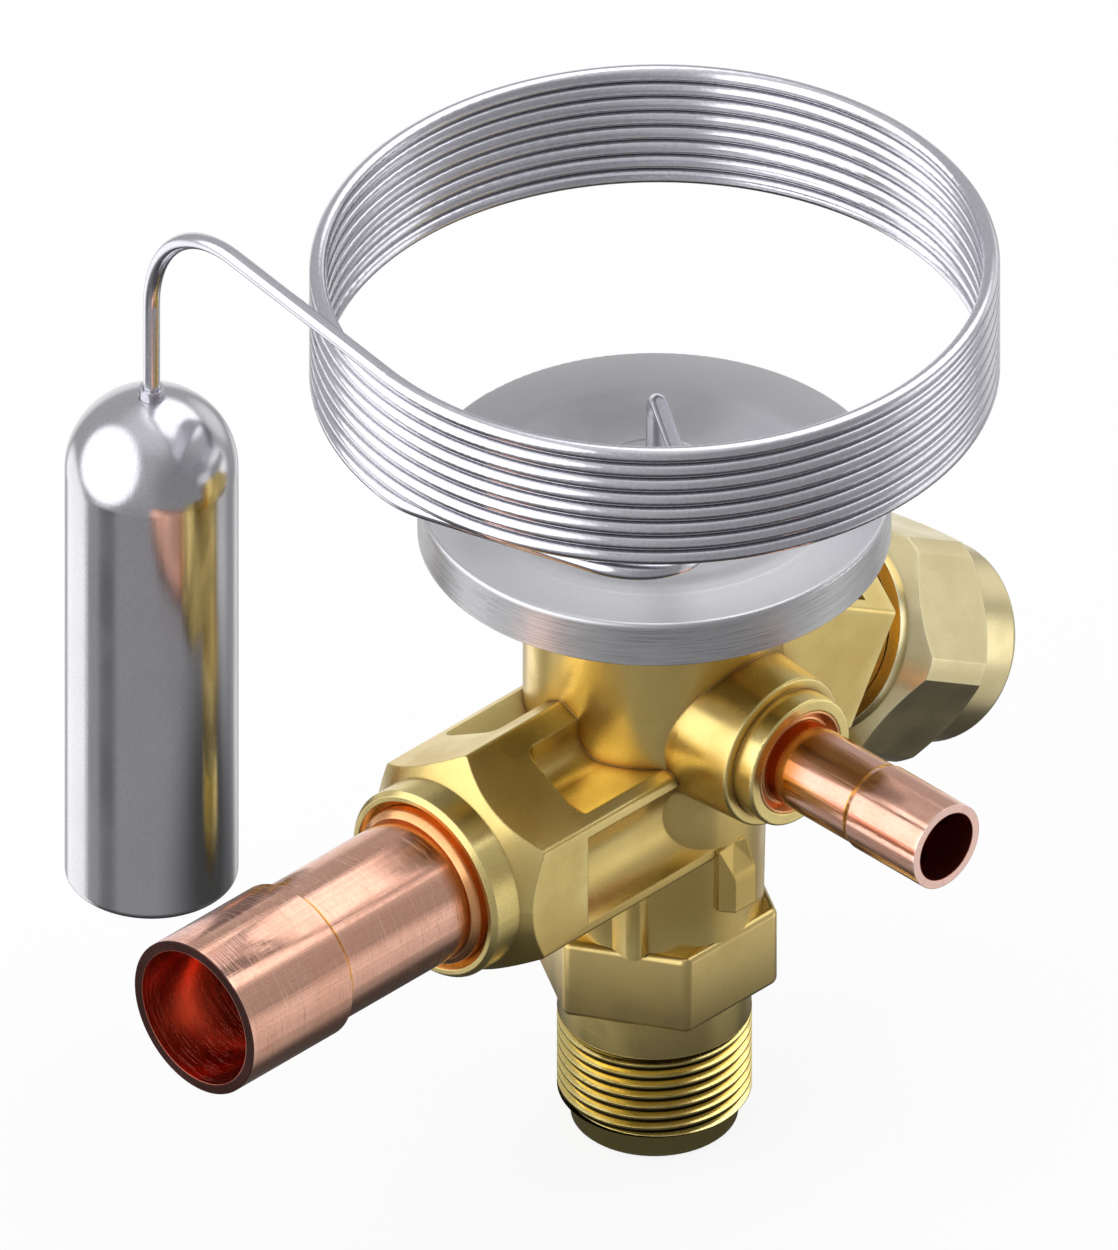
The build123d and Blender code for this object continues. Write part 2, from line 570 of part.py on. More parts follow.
def capillary():
    """Capillary from the bulb, round its coil and into the middle of the power element."""
    bottom = coil_point(COIL_START_ANGLE, COIL_BOTTOM_RISE)
    top = coil_point(COIL_START_ANGLE, COIL_BOTTOM_RISE + COIL_TURNS * COIL_PITCH)
    corner = bulb_place()
    bulb_end = Vector(corner.X, corner.Y, bulb_top() - BULB_FERRULE_LENGTH + BULB_FERRULE_STAND - CAPILLARY_OVERRUN)
    bulb_lead = FilletPolyline(bulb_end, corner, top, radius=BULB_LEAD_BEND)
    turns = Pos(COIL_CENTRE_X, COIL_CENTRE_Y, bottom.Z) * Rot(0, 0, COIL_START_ANGLE) * Helix(
        COIL_PITCH, COIL_TURNS * COIL_PITCH, COIL_RADIUS, lefthand=True)
    points = [coil_point(angle, rise, share) for share, angle, rise in ELEMENT_LEAD_PLACES]
    element_end = cover_boss_top() + FERRULE_STAND - FERRULE_LENGTH - CAPILLARY_OVERRUN
    element_lead = FilletPolyline(bottom, *points, (0, 0, OUTLET_Z + ELEMENT_LEAD_RISE), (0, 0, element_end),
                                  radius=[share * COIL_RADIUS for share in ELEMENT_LEAD_BEND_SHARES])
    route = Wire(bulb_lead.edges() + turns.edges() + element_lead.edges())
    section = Plane(origin=bulb_end, z_dir=(0, 0, 1)) * Circle(CAPILLARY_RADIUS)
    return sweep(section, path=route)


def cover_boss_top():
    """Height of the recessed top of the cover's boss."""
    return HEAD_TOP + COVER_BOSS_HEIGHT - COVER_BOSS_STEP


def bulb_top():
    """Height of the crown of the bulb's round end."""
    return OUTLET_Z + BULB_BOTTOM_RISE + BULB_LENGTH


def sleeve(x, y, radius, top, length):
    """Short sleeve round one end of the capillary."""
    bore = CAPILLARY_RADIUS + SEATED_GAP
    frame = Plane(origin=(x, y, top - length), z_dir=(0, 0, 1))
    return rod(frame, radius, 0, length) - rod(frame, bore, 0, length)


def sensing_bulb():
    """Sealed bulb: a closed round bar with a domed top and a hole for its sleeve."""
    place = bulb_place()
    low = OUTLET_Z + BULB_BOTTOM_RISE
    dome = bulb_top() - BULB_RADIUS
    frame = Plane(origin=(place.X, place.Y, 0), z_dir=(0, 0, 1))
    barrel = rod(frame, BULB_RADIUS, low, dome)
    barrel = fillet(barrel.edges().sort_by(Axis.Z)[0], BULB_EDGE_ROUND)
    barrel += Pos(place.X, place.Y, dome) * Sphere(BULB_RADIUS)
    hole_low = bulb_top() + BULB_FERRULE_STAND - BULB_FERRULE_LENGTH - 2 * CAPILLARY_OVERRUN
    return barrel - rod(frame, BULB_FERRULE_RADIUS + SEATED_GAP, hole_low, bulb_top() + CUT_OVERRUN)


def orifice_seat():
    """Pressed-in orifice ring with a coned lower edge."""
    edge = ORIFICE_BOTTOM + ORIFICE_CHAMFER
    return turned(UP, [(ORIFICE_RADIUS, edge), (ORIFICE_RADIUS + ORIFICE_CHAMFER, ORIFICE_BOTTOM),
                       (BORE_FIT, ORIFICE_BOTTOM), (BORE_FIT, ORIFICE_TOP), (ORIFICE_RADIUS, ORIFICE_TOP)])


def cone_top():
    """Height of the cone's flat top, where the push pin stands."""
    return ORIFICE_BOTTOM + ORIFICE_CHAMFER + ORIFICE_RADIUS - CONE_TIP_RADIUS - CONE_GAP


def cone_shoulder():
    """Height of the shoulder that the cone spring pushes on."""
    return cone_top() - (CONE_RADIUS - CONE_TIP_RADIUS) - CONE_SKIRT_LENGTH


def valve_cone():
    """Cone below the orifice, with a stem that the retainer guides."""
    top, shoulder = cone_top(), cone_shoulder()
    widest = top - (CONE_RADIUS - CONE_TIP_RADIUS)
    return turned(UP, [(0, top), (CONE_TIP_RADIUS, top), (CONE_RADIUS, widest), (CONE_RADIUS, shoulder),
                       (STEM_RADIUS, shoulder), (STEM_RADIUS, shoulder - STEM_LENGTH), (0, shoulder - STEM_LENGTH)])


def cone_spring():
    """Light spring between the cone and its retainer."""
    high = cone_shoulder()
    return coil_spring(CONE_SPRING_MEAN_RADIUS, CONE_SPRING_WIRE_RADIUS, CONE_SPRING_TURNS,
                       high - CONE_SPRING_LENGTH, high)


def spring_retainer():
    """Disc across the inlet bore with a guide hole and a ring of ports."""
    top = cone_shoulder() - CONE_SPRING_LENGTH
    disc = rod(UP, BORE_FIT, top - RETAINER_THICKNESS, top)
    disc -= rod(UP, STEM_RADIUS + RUNNING_GAP, top - RETAINER_THICKNESS, top)
    for place in PolarLocations(RETAINER_PORT_CIRCLE, RETAINER_PORTS):
        disc -= place * Pos(0, 0, top - RETAINER_THICKNESS / 2) * Cylinder(RETAINER_PORT_RADIUS, RETAINER_THICKNESS)
    return disc


def strainer_frame():
    """Ring, legs and top disc that carry the strainer's wall."""
    ring_top = STRAINER_SETBACK + STRAINER_RING_LENGTH
    cap_low = ring_top + STRAINER_LENGTH
    opening = STRAINER_WALL_RADIUS - 2 * STRAINER_WALL
    frame = rod(UP, BORE_FIT, STRAINER_SETBACK, ring_top) - rod(UP, opening, STRAINER_SETBACK, ring_top)
    frame += rod(UP, STRAINER_CAP_RADIUS, cap_low, cap_low + STRAINER_CAP_THICKNESS)
    leg = Box(STRAINER_LEG_DEPTH, STRAINER_LEG_WIDTH, STRAINER_LENGTH + STRAINER_CAP_THICKNESS)
    leg_radius = STRAINER_WALL_RADIUS + SEATED_GAP + STRAINER_LEG_DEPTH / 2
    leg_middle = ring_top + (STRAINER_LENGTH + STRAINER_CAP_THICKNESS) / 2
    for place in PolarLocations(leg_radius, STRAINER_LEGS):
        frame += place * Pos(0, 0, leg_middle) * leg
    return frame


def strainer_mesh():
    """Perforated strainer wall between the ring and the top disc."""
    low = STRAINER_SETBACK + STRAINER_RING_LENGTH
    wall = rod(UP, STRAINER_WALL_RADIUS, low, low + STRAINER_LENGTH)
    wall -= rod(UP, STRAINER_WALL_RADIUS - STRAINER_WALL, low, low + STRAINER_LENGTH)
    row_pitch = STRAINER_LENGTH / STRAINER_ROWS
    hole = Box(2 * STRAINER_WALL_RADIUS, STRAINER_HOLE, STRAINER_HOLE)
    for row in range(STRAINER_ROWS):
        for step in range(STRAINER_HOLES_AROUND // 2):
            turn = 360 * step / STRAINER_HOLES_AROUND
            wall -= Pos(0, 0, low + row_pitch * (row + 0.5)) * Rot(0, 0, turn) * hole
    return wall


def guide_bush():
    """Flanged bush in the partition, grooved inside for the pin seal."""
    flange_low = PARTITION_BOTTOM - BUSH_FLANGE_THICKNESS
    bush = rod(UP, BUSH_RADIUS, PARTITION_BOTTOM, PARTITION_TOP - SEATED_GAP)
    bush += rod(UP, BUSH_FLANGE_RADIUS, flange_low, PARTITION_BOTTOM)
    bush -= rod(UP, PIN_RADIUS + RUNNING_GAP, flange_low, PARTITION_TOP)
    middle = (PARTITION_BOTTOM + PARTITION_TOP) / 2
    half = PIN_SEAL_THICKNESS / 2 + SEATED_GAP
    return bush - rod(UP, PIN_SEAL_RADIUS + SEATED_GAP, middle - half, middle + half)


def pin_seal():
    """Square-section seal ring round the push pin."""
    middle = (PARTITION_BOTTOM + PARTITION_TOP) / 2
    half = PIN_SEAL_THICKNESS / 2
    ring = rod(UP, PIN_SEAL_RADIUS, middle - half, middle + half)
    return ring - rod(UP, PIN_RADIUS + RUNNING_GAP, middle - half, middle + half)


def push_pin():
    """Pin from the pressure plate down to the cone."""
    return rod(UP, PIN_RADIUS, cone_top(), PLATE_BOTTOM + PIN_SOCKET_DEPTH)


def pressure_plate():
    """Plate under the diaphragm with a boss that centres the spring."""
    plate = rod(UP, PLATE_RADIUS, PLATE_BOTTOM, PLATE_TOP)
    plate += rod(UP, PLATE_BOSS_RADIUS, PLATE_BOTTOM - PLATE_BOSS_LENGTH, PLATE_BOTTOM)
    return plate - rod(UP, PIN_RADIUS + SEATED_GAP, PLATE_BOTTOM - PLATE_BOSS_LENGTH,
                       PLATE_BOTTOM + PIN_SOCKET_DEPTH)


def superheat_spring():
    """Main spring between the spring seat and the pressure plate."""
    return coil_spring(SPRING_MEAN_RADIUS, SPRING_WIRE_RADIUS, SPRING_TURNS, SPRING_BOTTOM, PLATE_BOTTOM)


def spring_seat():
    """Threaded seat that climbs the nut; two tabs in the head's slots stop it turning."""
    seat = rod(UP, SPRING_SEAT_RADIUS, SPRING_SEAT_Z, SPRING_BOTTOM)
    tabs = Box(SEAT_TAB_WIDTH, 2 * SEAT_TAB_RADIUS, SPRING_SEAT_THICKNESS)
    seat += Pos(0, 0, (SPRING_SEAT_Z + SPRING_BOTTOM) / 2) * tabs
    seat += rod(UP, SPRING_SLEEVE_RADIUS, SPRING_BOTTOM, SPRING_BOTTOM + SPRING_SLEEVE_LENGTH)
    return seat - rod(UP, NUT_HUB_RADIUS + THREAD_GAP, SPRING_SEAT_Z, SPRING_BOTTOM + SPRING_SLEEVE_LENGTH)


def cone_angles():
    """Pitch cone half-angles of the pinion and the crown, in radians."""
    shaft_angle = pi / 2 - SLANT
    ratio = CROWN_TEETH / PINION_TEETH
    pinion = atan2(sin(shaft_angle), ratio + cos(shaft_angle))
    return pinion, shaft_angle - pinion


def cone_point(half_angle, distance, height):
    """Radius and axial place of a point above a pitch cone, measured from the apex."""
    scale = distance / GEAR_OUTER_CONE
    radius = distance * sin(half_angle) + height * scale * cos(half_angle)
    return radius, distance * cos(half_angle) - height * scale * sin(half_angle)


def tooth_face(half_angle, distance):
    """Cross-section of a bevel tooth at one distance from the apex, on local x."""
    scale = distance / GEAR_OUTER_CONE
    corners = []
    for height in (-TOOTH_DEDENDUM - TOOTH_ROOT_SINK, TOOTH_ADDENDUM):
        half = (TOOTH_HALF_WIDTH - height * tan(radians(TOOTH_FLANK_ANGLE))) * scale
        radius, place = cone_point(half_angle, distance, height)
        corners.append([Vector(radius, -half, place), Vector(radius, half, place)])
    (a, b), (c, d) = corners
    return make_face(Polyline(a, b, d, c, close=True))


def bevel_teeth(frame, half_angle, count, first_turn):
    """Ring of straight bevel teeth that all point at the frame's origin."""
    tooth = loft([tooth_face(half_angle, GEAR_INNER_CONE), tooth_face(half_angle, GEAR_OUTER_CONE)], ruled=True)
    ring = Part()
    for step in range(count):
        ring += frame.location * Rot(0, 0, first_turn + 360 * step / count) * tooth
    return ring


def adjusting_nut():
    """Crown gear and threaded hub in one piece, turning on the partition."""
    _, half_angle = cone_angles()
    inner = cone_point(half_angle, GEAR_INNER_CONE, -TOOTH_DEDENDUM)
    outer = cone_point(half_angle, GEAR_OUTER_CONE, -TOOTH_DEDENDUM)
    foot = APEX_Z - PARTITION_TOP - NUT_THRUST_GAP
    top = APEX_Z - OUTLET_Z - NUT_HUB_RISE
    bore = PIN_RADIUS + NUT_BORE_GAP
    blank = turned(CROWN, [(bore, top), (NUT_HUB_RADIUS, top), (NUT_HUB_RADIUS, inner[1]), inner, outer,
                           (outer[0], foot), (bore, foot)])
    return blank + bevel_teeth(CROWN, half_angle, CROWN_TEETH, 0)


def adjusting_spindle():
    """Spindle with its bevel pinion, a stop collar and a square drive end."""
    half_angle, _ = cone_angles()
    inner = cone_point(half_angle, GEAR_INNER_CONE, -TOOTH_DEDENDUM)
    outer = cone_point(half_angle, GEAR_OUTER_CONE, -TOOTH_DEDENDUM)
    collar_end = HOUSING_START - SPINDLE_COLLAR_GAP
    shaft = turned(ADJUSTER, [(0, inner[1]), inner, outer, (SPINDLE_HUB_RADIUS, outer[1]),
                              (SPINDLE_HUB_RADIUS, SPINDLE_COLLAR_START),
                              (SPINDLE_COLLAR_RADIUS, SPINDLE_COLLAR_START), (SPINDLE_COLLAR_RADIUS, collar_end),
                              (SPINDLE_RADIUS, collar_end), (SPINDLE_RADIUS, SPINDLE_SHAFT_END),
                              (0, SPINDLE_SHAFT_END)])
    drive_length = SPINDLE_END - SPINDLE_SHAFT_END
    shaft += ADJUSTER.location * Pos(0, 0, SPINDLE_SHAFT_END + drive_length / 2) * Box(
        SPINDLE_DRIVE_FLATS, SPINDLE_DRIVE_FLATS, drive_length)
    half_pitch = 180 / PINION_TEETH
    return shaft + bevel_teeth(ADJUSTER, half_angle, PINION_TEETH, half_pitch - 90)


def o_ring_groove_radius():
    """Bottom radius of the o-ring groove in the housing."""
    return SPINDLE_RADIUS + 2 * O_RING_SECTION_RADIUS + 2 * SEATED_GAP


def spindle_housing():
    """Screwed-in housing that guides the spindle and carries the cap's thread."""
    body = turned(ADJUSTER, [(SPINDLE_RADIUS + RUNNING_GAP, HOUSING_START),
                             (HOUSING_BORE_RADIUS - SEATED_GAP, HOUSING_START),
                             (HOUSING_BORE_RADIUS - SEATED_GAP, ADJUSTER_ARM_END),
                             (HOUSING_COLLAR_RADIUS, ADJUSTER_ARM_END),
                             (HOUSING_COLLAR_RADIUS, HOUSING_COLLAR_END),
                             (HOUSING_THREAD_RADIUS, HOUSING_COLLAR_END),
                             (HOUSING_THREAD_RADIUS, HOUSING_END), (SPINDLE_RADIUS + RUNNING_GAP, HOUSING_END)])
    half = O_RING_SECTION_RADIUS + SEATED_GAP
    return body - rod(ADJUSTER, o_ring_groove_radius(), O_RING_PLACE - half, O_RING_PLACE + half)


def spindle_o_ring():
    """O-ring in the housing's groove."""
    mean = SPINDLE_RADIUS + O_RING_SECTION_RADIUS + SEATED_GAP
    return ADJUSTER.location * Pos(0, 0, O_RING_PLACE) * Torus(mean, O_RING_SECTION_RADIUS)


def cap_gasket():
    """Flat ring that seals the cap on the end of the housing."""
    ring = rod(ADJUSTER, CAP_GASKET_OUTER_RADIUS, HOUSING_END + SEATED_GAP, CAP_SEAT - SEATED_GAP)
    return ring - rod(ADJUSTER, CAP_GASKET_INNER_RADIUS, HOUSING_END, CAP_SEAT)


def seal_cap():
    """Hexagon seal cap with coned shoulders, clipped corners and a round nose."""
    flat = CAP_HEX_FLATS / 2
    corner = CAP_CORNER_FLATS / 2
    rise = tan(radians(CAP_CHAMFER_ANGLE))
    low_corner = CAP_HEX_START + (corner - CAP_COLLAR_RADIUS) * rise
    high_corner = CAP_HEX_END + (corner - CAP_NOSE_RADIUS) * -rise
    bar = hex_bar(ADJUSTER, CAP_HEX_FLATS, CAP_START, CAP_END, CAP_HEX_TURN, TURNED_CHAMFER)
    bar &= hex_bar(ADJUSTER, CAP_CORNER_FLATS, CAP_START, CAP_END, CAP_HEX_TURN + 30, TURNED_CHAMFER)
    barrel = turned(ADJUSTER, [(0, CAP_HEX_START), (CAP_COLLAR_RADIUS, CAP_HEX_START), (corner, low_corner),
                               (corner, high_corner), (CAP_NOSE_RADIUS, CAP_HEX_END), (0, CAP_HEX_END)])
    bar &= barrel
    bar += turned(ADJUSTER, [(0, CAP_START), (CAP_COLLAR_RADIUS, CAP_START), (CAP_COLLAR_RADIUS, CAP_HEX_START),
                             (CAP_NOSE_RADIUS, CAP_HEX_END), (CAP_NOSE_RADIUS, CAP_END), (0, CAP_END)],
                  [((CAP_NOSE_RADIUS, CAP_END), CAP_EDGE_ROUND)])
    bar -= rod(ADJUSTER, HOUSING_THREAD_RADIUS + THREAD_GAP, CAP_START, CAP_SEAT)
    return bar - rod(ADJUSTER, CAP_POCKET_RADIUS, CAP_SEAT, CAP_POCKET_END)


def build():
    """Every piece by its node name."""
    bulb = bulb_place()
    return {
        "valve_body": valve_body(),
        "outlet_tube": outlet_tube(),
        "outlet_braze_ring": outlet_braze_ring(),
        "equalizer_tube": equalizer_tube(),
        "equalizer_braze_ring": equalizer_braze_ring(),
        "element_cover": element_cover(),
        "element_base": element_base(),
        "element_gasket": element_gasket(),
        "diaphragm": diaphragm(),
        "capillary_tube": capillary(),
        "capillary_ferrule": sleeve(0, 0, FERRULE_RADIUS, cover_boss_top() + FERRULE_STAND, FERRULE_LENGTH),
        "bulb_ferrule": sleeve(bulb.X, bulb.Y, BULB_FERRULE_RADIUS, bulb_top() + BULB_FERRULE_STAND,
                               BULB_FERRULE_LENGTH),
        "sensing_bulb": sensing_bulb(),
        "orifice_seat": orifice_seat(),
        "valve_cone": valve_cone(),
        "cone_spring": cone_spring(),
        "spring_retainer": spring_retainer(),
        "strainer_frame": strainer_frame(),
        "strainer_mesh": strainer_mesh(),
        "guide_bush": guide_bush(),
        "pin_seal": pin_seal(),
        "push_pin": push_pin(),
        "pressure_plate": pressure_plate(),
        "superheat_spring": superheat_spring(),
        "spring_seat": spring_seat(),
        "adjusting_nut": adjusting_nut(),
        "adjusting_spindle": adjusting_spindle(),
        "spindle_housing": spindle_housing(),
        "spindle_o_ring": spindle_o_ring(),
        "cap_gasket": cap_gasket(),
        "seal_cap": seal_cap(),
    }


os.makedirs("parts", exist_ok=True)
for name, piece in build().items():
    export_step(piece, f"parts/{name}.step")
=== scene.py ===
from math import cos, pi, radians, sin

import bpy
from mathutils import Matrix, Vector


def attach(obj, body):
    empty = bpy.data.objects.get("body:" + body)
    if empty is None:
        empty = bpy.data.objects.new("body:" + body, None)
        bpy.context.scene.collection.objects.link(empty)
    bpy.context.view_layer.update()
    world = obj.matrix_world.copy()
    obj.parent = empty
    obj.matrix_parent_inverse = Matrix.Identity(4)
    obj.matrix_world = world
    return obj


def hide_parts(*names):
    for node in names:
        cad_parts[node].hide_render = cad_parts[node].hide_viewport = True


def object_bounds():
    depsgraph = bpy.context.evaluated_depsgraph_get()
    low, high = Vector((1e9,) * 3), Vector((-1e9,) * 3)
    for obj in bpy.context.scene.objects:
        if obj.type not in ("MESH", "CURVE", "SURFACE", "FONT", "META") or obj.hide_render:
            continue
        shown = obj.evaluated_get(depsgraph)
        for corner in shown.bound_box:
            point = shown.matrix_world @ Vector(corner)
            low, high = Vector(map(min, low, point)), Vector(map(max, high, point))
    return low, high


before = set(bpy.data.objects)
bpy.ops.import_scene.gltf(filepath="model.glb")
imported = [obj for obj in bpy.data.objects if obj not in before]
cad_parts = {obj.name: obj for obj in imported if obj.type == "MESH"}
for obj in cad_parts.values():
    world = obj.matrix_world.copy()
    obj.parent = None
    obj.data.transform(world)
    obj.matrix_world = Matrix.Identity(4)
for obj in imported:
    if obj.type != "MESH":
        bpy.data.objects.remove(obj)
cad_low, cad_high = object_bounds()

MM = 0.001

# Places on the valve, in metres, as the CAD has them
TIP_TOP = 2.74 * MM
THREAD_TOP = 10.54 * MM
THREAD_RADIUS = 8.0 * MM
THREAD_PITCH = 1.04 * MM
THREAD_DEPTH = 0.62 * MM
HEX_BOTTOM = 14.44 * MM
HEX_TOP = 21.94 * MM
HEX_WIDTH = 18.2 * MM
HEX_CORNER = HEX_WIDTH / 2 / cos(pi / 6)
HEX_CORNER_ROUND = 0.62 * MM
HEX_BORE = 7.9 * MM
COLUMN_RADIUS = 9.3 * MM
WAIST_RADIUS = 8.85 * MM
WAIST_TOP = 38.34 * MM
OUTLET_Z = 35.84 * MM
OUTLET_HEX_END = -24.0 * MM
BOSS_Z = 43.23 * MM
HEAD_TOP = 58.24 * MM
RIM_TOP = 62.24 * MM
BRUSHED_TOP = HEAD_TOP + 3.7 * MM
BOSS_FOOT = 5.95 * MM
SHOULDER_OUT = 18.9 * MM
COVER_FLATNESS = 0.25
CAPILLARY_KEPT = 0.7
APEX_Z = 49.99 * MM
ADJUSTER_SLANT = radians(30.6)
BULB_X = -22.98 * MM
BULB_Y = 35.31 * MM

# The photograph's view
VIEW_TARGET = Vector((-1.285, 9.774, 44.314)) * MM
VIEW_BACK = Vector((-0.577, -0.577, 0.578)).normalized()
VIEW_DISTANCE = 1.0
VIEW_HEIGHT = 0.10246

# The studio room: its level by elevation, then its patches, each an azimuth from straight behind the
# valve (clockwise as the camera sees it), an elevation, a reach, a soft edge and a tone
ROOM_LEVELS = [(-90, 0.05), (-58, 0.08), (-46, 0.22), (-34, 0.38), (-10, 0.46), (15, 0.52), (45, 0.52),
               (80, 0.85)]
ROOM_PATCHES = [
    (140, 4, 34, 18, (0.32, 0.32, 0.33)),
    (28, -30, 7, 7, (0.90, 0.90, 0.90)),
    (40, 6, 12, 10, (0.95, 0.95, 0.95)),
    (86, -36, 16, 9, (0.72, 0.72, 0.72)),
    (-118, -38, 9, 5, (0.15, 0.15, 0.15)),
    (-56, -35, 21, 5, (1.35, 1.35, 1.37)),
    (82, -8, 16, 7, (1.40, 1.40, 1.40)),
    (48, 58, 31, 4, (1.75, 1.77, 1.82)),
    (-112, 17, 46, 4, (1.75, 1.77, 1.82)),
]
# The part of the white backdrop that the metal mirrors: azimuth, elevation, reach and soft edge
BACKDROP = (-8, -14, 19, 9)

# The floor: its share of shaded paper, its side, its drop below the inlet face, and how far out the painted
# shadow under the valve ends and is full
FLOOR_SHADOW = 0.12
FLOOR_SIZE = 4.0
FLOOR_DROP = 0.2 * MM
SHADE_OUT = 50 * MM
SHADE_FULL = 12 * MM

# How finely round pieces are made, and the angle from which an edge stays sharp
ROUND_STEPS = 96
MACHINED_EDGE = radians(30)
DRAWN_EDGE = radians(60)

# How near to a face of the CAD a corner counts as on it
SLACK = 0.01 * MM


def deselect_all():
    """Nothing is selected before an operator acts."""
    if bpy.context.object and bpy.context.object.mode != "OBJECT":
        bpy.ops.object.mode_set(mode="OBJECT")
    bpy.ops.object.select_all(action="DESELECT")


def pick(obj):
    """Selects one object alone and makes it active."""
    deselect_all()
    obj.select_set(True)
    bpy.context.view_layer.objects.active = obj


# Shader helpers

def add(tree, kind, inputs=None, **settings):
    """Adds a node; inputs are values, or sockets to link."""
    made = tree.nodes.new(kind)
    for key, value in settings.items():
        setattr(made, key, value)
    for key, value in (inputs or {}).items():
        if isinstance(value, bpy.types.NodeSocket):
            tree.links.new(value, made.inputs[key])
        else:
            made.inputs[key].default_value = value
    return made


def maths(tree, operation, a, b=0.0):
    return add(tree, "ShaderNodeMath", {0: a, 1: b}, operation=operation).outputs[0]


def spread(tree, value, low, high, to_low=0.0, to_high=1.0):
    """Value between low and high, spread smoothly from to_low to to_high."""
    made = add(tree, "ShaderNodeMapRange", {0: value, 1: low, 2: high, 3: to_low, 4: to_high},
               interpolation_type="SMOOTHSTEP")
    return made.outputs[0]


def blend(tree, factor, a, b):
    return add(tree, "ShaderNodeMix", {0: factor, 6: a, 7: b}, data_type="RGBA").outputs[2]


def noise(tree, vector, scale, detail=2.0, rough=0.5, dimensions="3D"):
    made = add(tree, "ShaderNodeTexNoise", {"Vector": vector, "Scale": scale, "Detail": detail,
                                            "Roughness": rough}, noise_dimensions=dimensions)
    return made.outputs[0]


def colour(*levels):
    """Colour written as display levels of 0 to 255."""
    linear = [(v / 255 / 12.92) if v <= 10.3 else ((v / 255 + 0.055) / 1.055) ** 2.4 for v in levels]
    return (*linear, 1.0)


def effect(name, inputs, outputs):
    """Empty shader group with named sockets."""
    group = bpy.data.node_groups.new(name, "ShaderNodeTree")
    for label, kind, value in inputs:
        socket = group.interface.new_socket(label, in_out="INPUT", socket_type=kind)
        if value is not None:
            socket.default_value = value
    for label, kind in outputs:
        group.interface.new_socket(label, in_out="OUTPUT", socket_type=kind)
    return group, group.nodes.new("NodeGroupInput"), group.nodes.new("NodeGroupOutput")


VALUE, VECTOR = "NodeSocketFloat", "NodeSocketVector"


def metal_grain_effect():
    """Patchy tone, fine grain and dark specks of worked metal."""
    group, given, out = effect("metal grain", [("Position", VECTOR, None), ("Patch Size", VALUE, 5.0),
                                               ("Grain Size", VALUE, 0.2), ("Speck Size", VALUE, 0.22)],
                               [("Patches", VALUE), ("Grain", VALUE), ("Specks", VALUE)])
    millimetres = add(group, "ShaderNodeVectorMath", {0: given.outputs["Position"], 3: 1000.0},
                      operation="SCALE").outputs[0]

    def at_size(label):
        return maths(group, "DIVIDE", 1.0, given.outputs[label])

    patches = noise(group, millimetres, at_size("Patch Size"), 3.0, 0.55)
    grain = noise(group, millimetres, at_size("Grain Size"), 2.0, 0.6)
    fine = noise(group, millimetres, at_size("Speck Size"), 1.0, 0.5)
    clumps = noise(group, millimetres, maths(group, "MULTIPLY", at_size("Speck Size"), 0.16), 3.0, 0.6)
    specks = maths(group, "MULTIPLY", spread(group, fine, 0.60, 0.68), spread(group, clumps, 0.50, 0.66))
    for label, value in (("Patches", patches), ("Grain", grain), ("Specks", specks)):
        group.links.new(value, out.inputs[label])
    return group


def edge_finder_effect():
    """Outer edges and inner corners within reach, and the normal of softly broken edges."""
    group, given, out = effect("edge finder", [("Reach", VALUE, 0.0005), ("Break", VALUE, 0.0002)],
                               [("Edge", VALUE), ("Hollow", VALUE), ("Normal", VECTOR)])
    edge = add(group, "ShaderNodeAmbientOcclusion", {"Distance": given.outputs["Reach"]},
               samples=4, inside=True, only_local=True).outputs["AO"]
    hollow = add(group, "ShaderNodeAmbientOcclusion", {"Distance": given.outputs["Reach"]},
                 samples=4, inside=False, only_local=True).outputs["AO"]
    soft = add(group, "ShaderNodeBevel", {"Radius": given.outputs["Break"]}, samples=4).outputs[0]
    group.links.new(spread(group, edge, 0.95, 0.45), out.inputs["Edge"])
    group.links.new(spread(group, hollow, 0.95, 0.35), out.inputs["Hollow"])
    group.links.new(soft, out.inputs["Normal"])
    return group


def turned_marks_effect():
    """Fine tool rings about the position's Z axis, on ends and on round faces."""
    group, given, out = effect("turned marks", [("Position", VECTOR, None), ("Width", VALUE, 0.12)],
                               [("Rings", VALUE)])
    split = add(group, "ShaderNodeSeparateXYZ", {0: given.outputs["Position"]})
    squares = [maths(group, "MULTIPLY", split.outputs[i], split.outputs[i]) for i in (0, 1)]
    radius = maths(group, "SQRT", maths(group, "ADD", *squares))
    scale = maths(group, "DIVIDE", 1000.0, given.outputs["Width"])
    place = add(group, "ShaderNodeCombineXYZ", {0: maths(group, "MULTIPLY", radius, scale),
                                                1: maths(group, "MULTIPLY", split.outputs[2], scale)})
    rings = noise(group, place.outputs[0], 1.0, 1.0, 0.6, "2D")
    group.links.new(rings, out.inputs["Rings"])
    return group


def scratches_effect():
    """Thin scratches: across for those round the Z axis, along for those lengthwise, and brushed streaks."""
    group, given, out = effect("scratches", [("Position", VECTOR, None), ("Radius", VALUE, 6.0)],
                               [("Across", VALUE), ("Along", VALUE), ("Streaks", VALUE), ("Brushed", VALUE)])
    split = add(group, "ShaderNodeSeparateXYZ", {0: given.outputs["Position"]})
    turn = maths(group, "MULTIPLY", maths(group, "ARCTAN2", split.outputs[1], split.outputs[0]),
                 given.outputs["Radius"])
    height = maths(group, "MULTIPLY", split.outputs[2], 1000.0)

    def lines(label, turn_scale, height_scale, detail, rough):
        place = add(group, "ShaderNodeCombineXYZ", {0: maths(group, "MULTIPLY", turn, turn_scale),
                                                    1: maths(group, "MULTIPLY", height, height_scale)})
        group.links.new(noise(group, place.outputs[0], 1.0, detail, rough, "2D"), out.inputs[label])

    lines("Across", 0.12, 9.0, 3.0, 0.7)
    lines("Along", 5.0, 0.10, 3.0, 0.6)
    lines("Streaks", 3.2, 0.012, 3.0, 0.7)
    lines("Brushed", 0.12, 9.0, 4.0, 0.75)
    return group
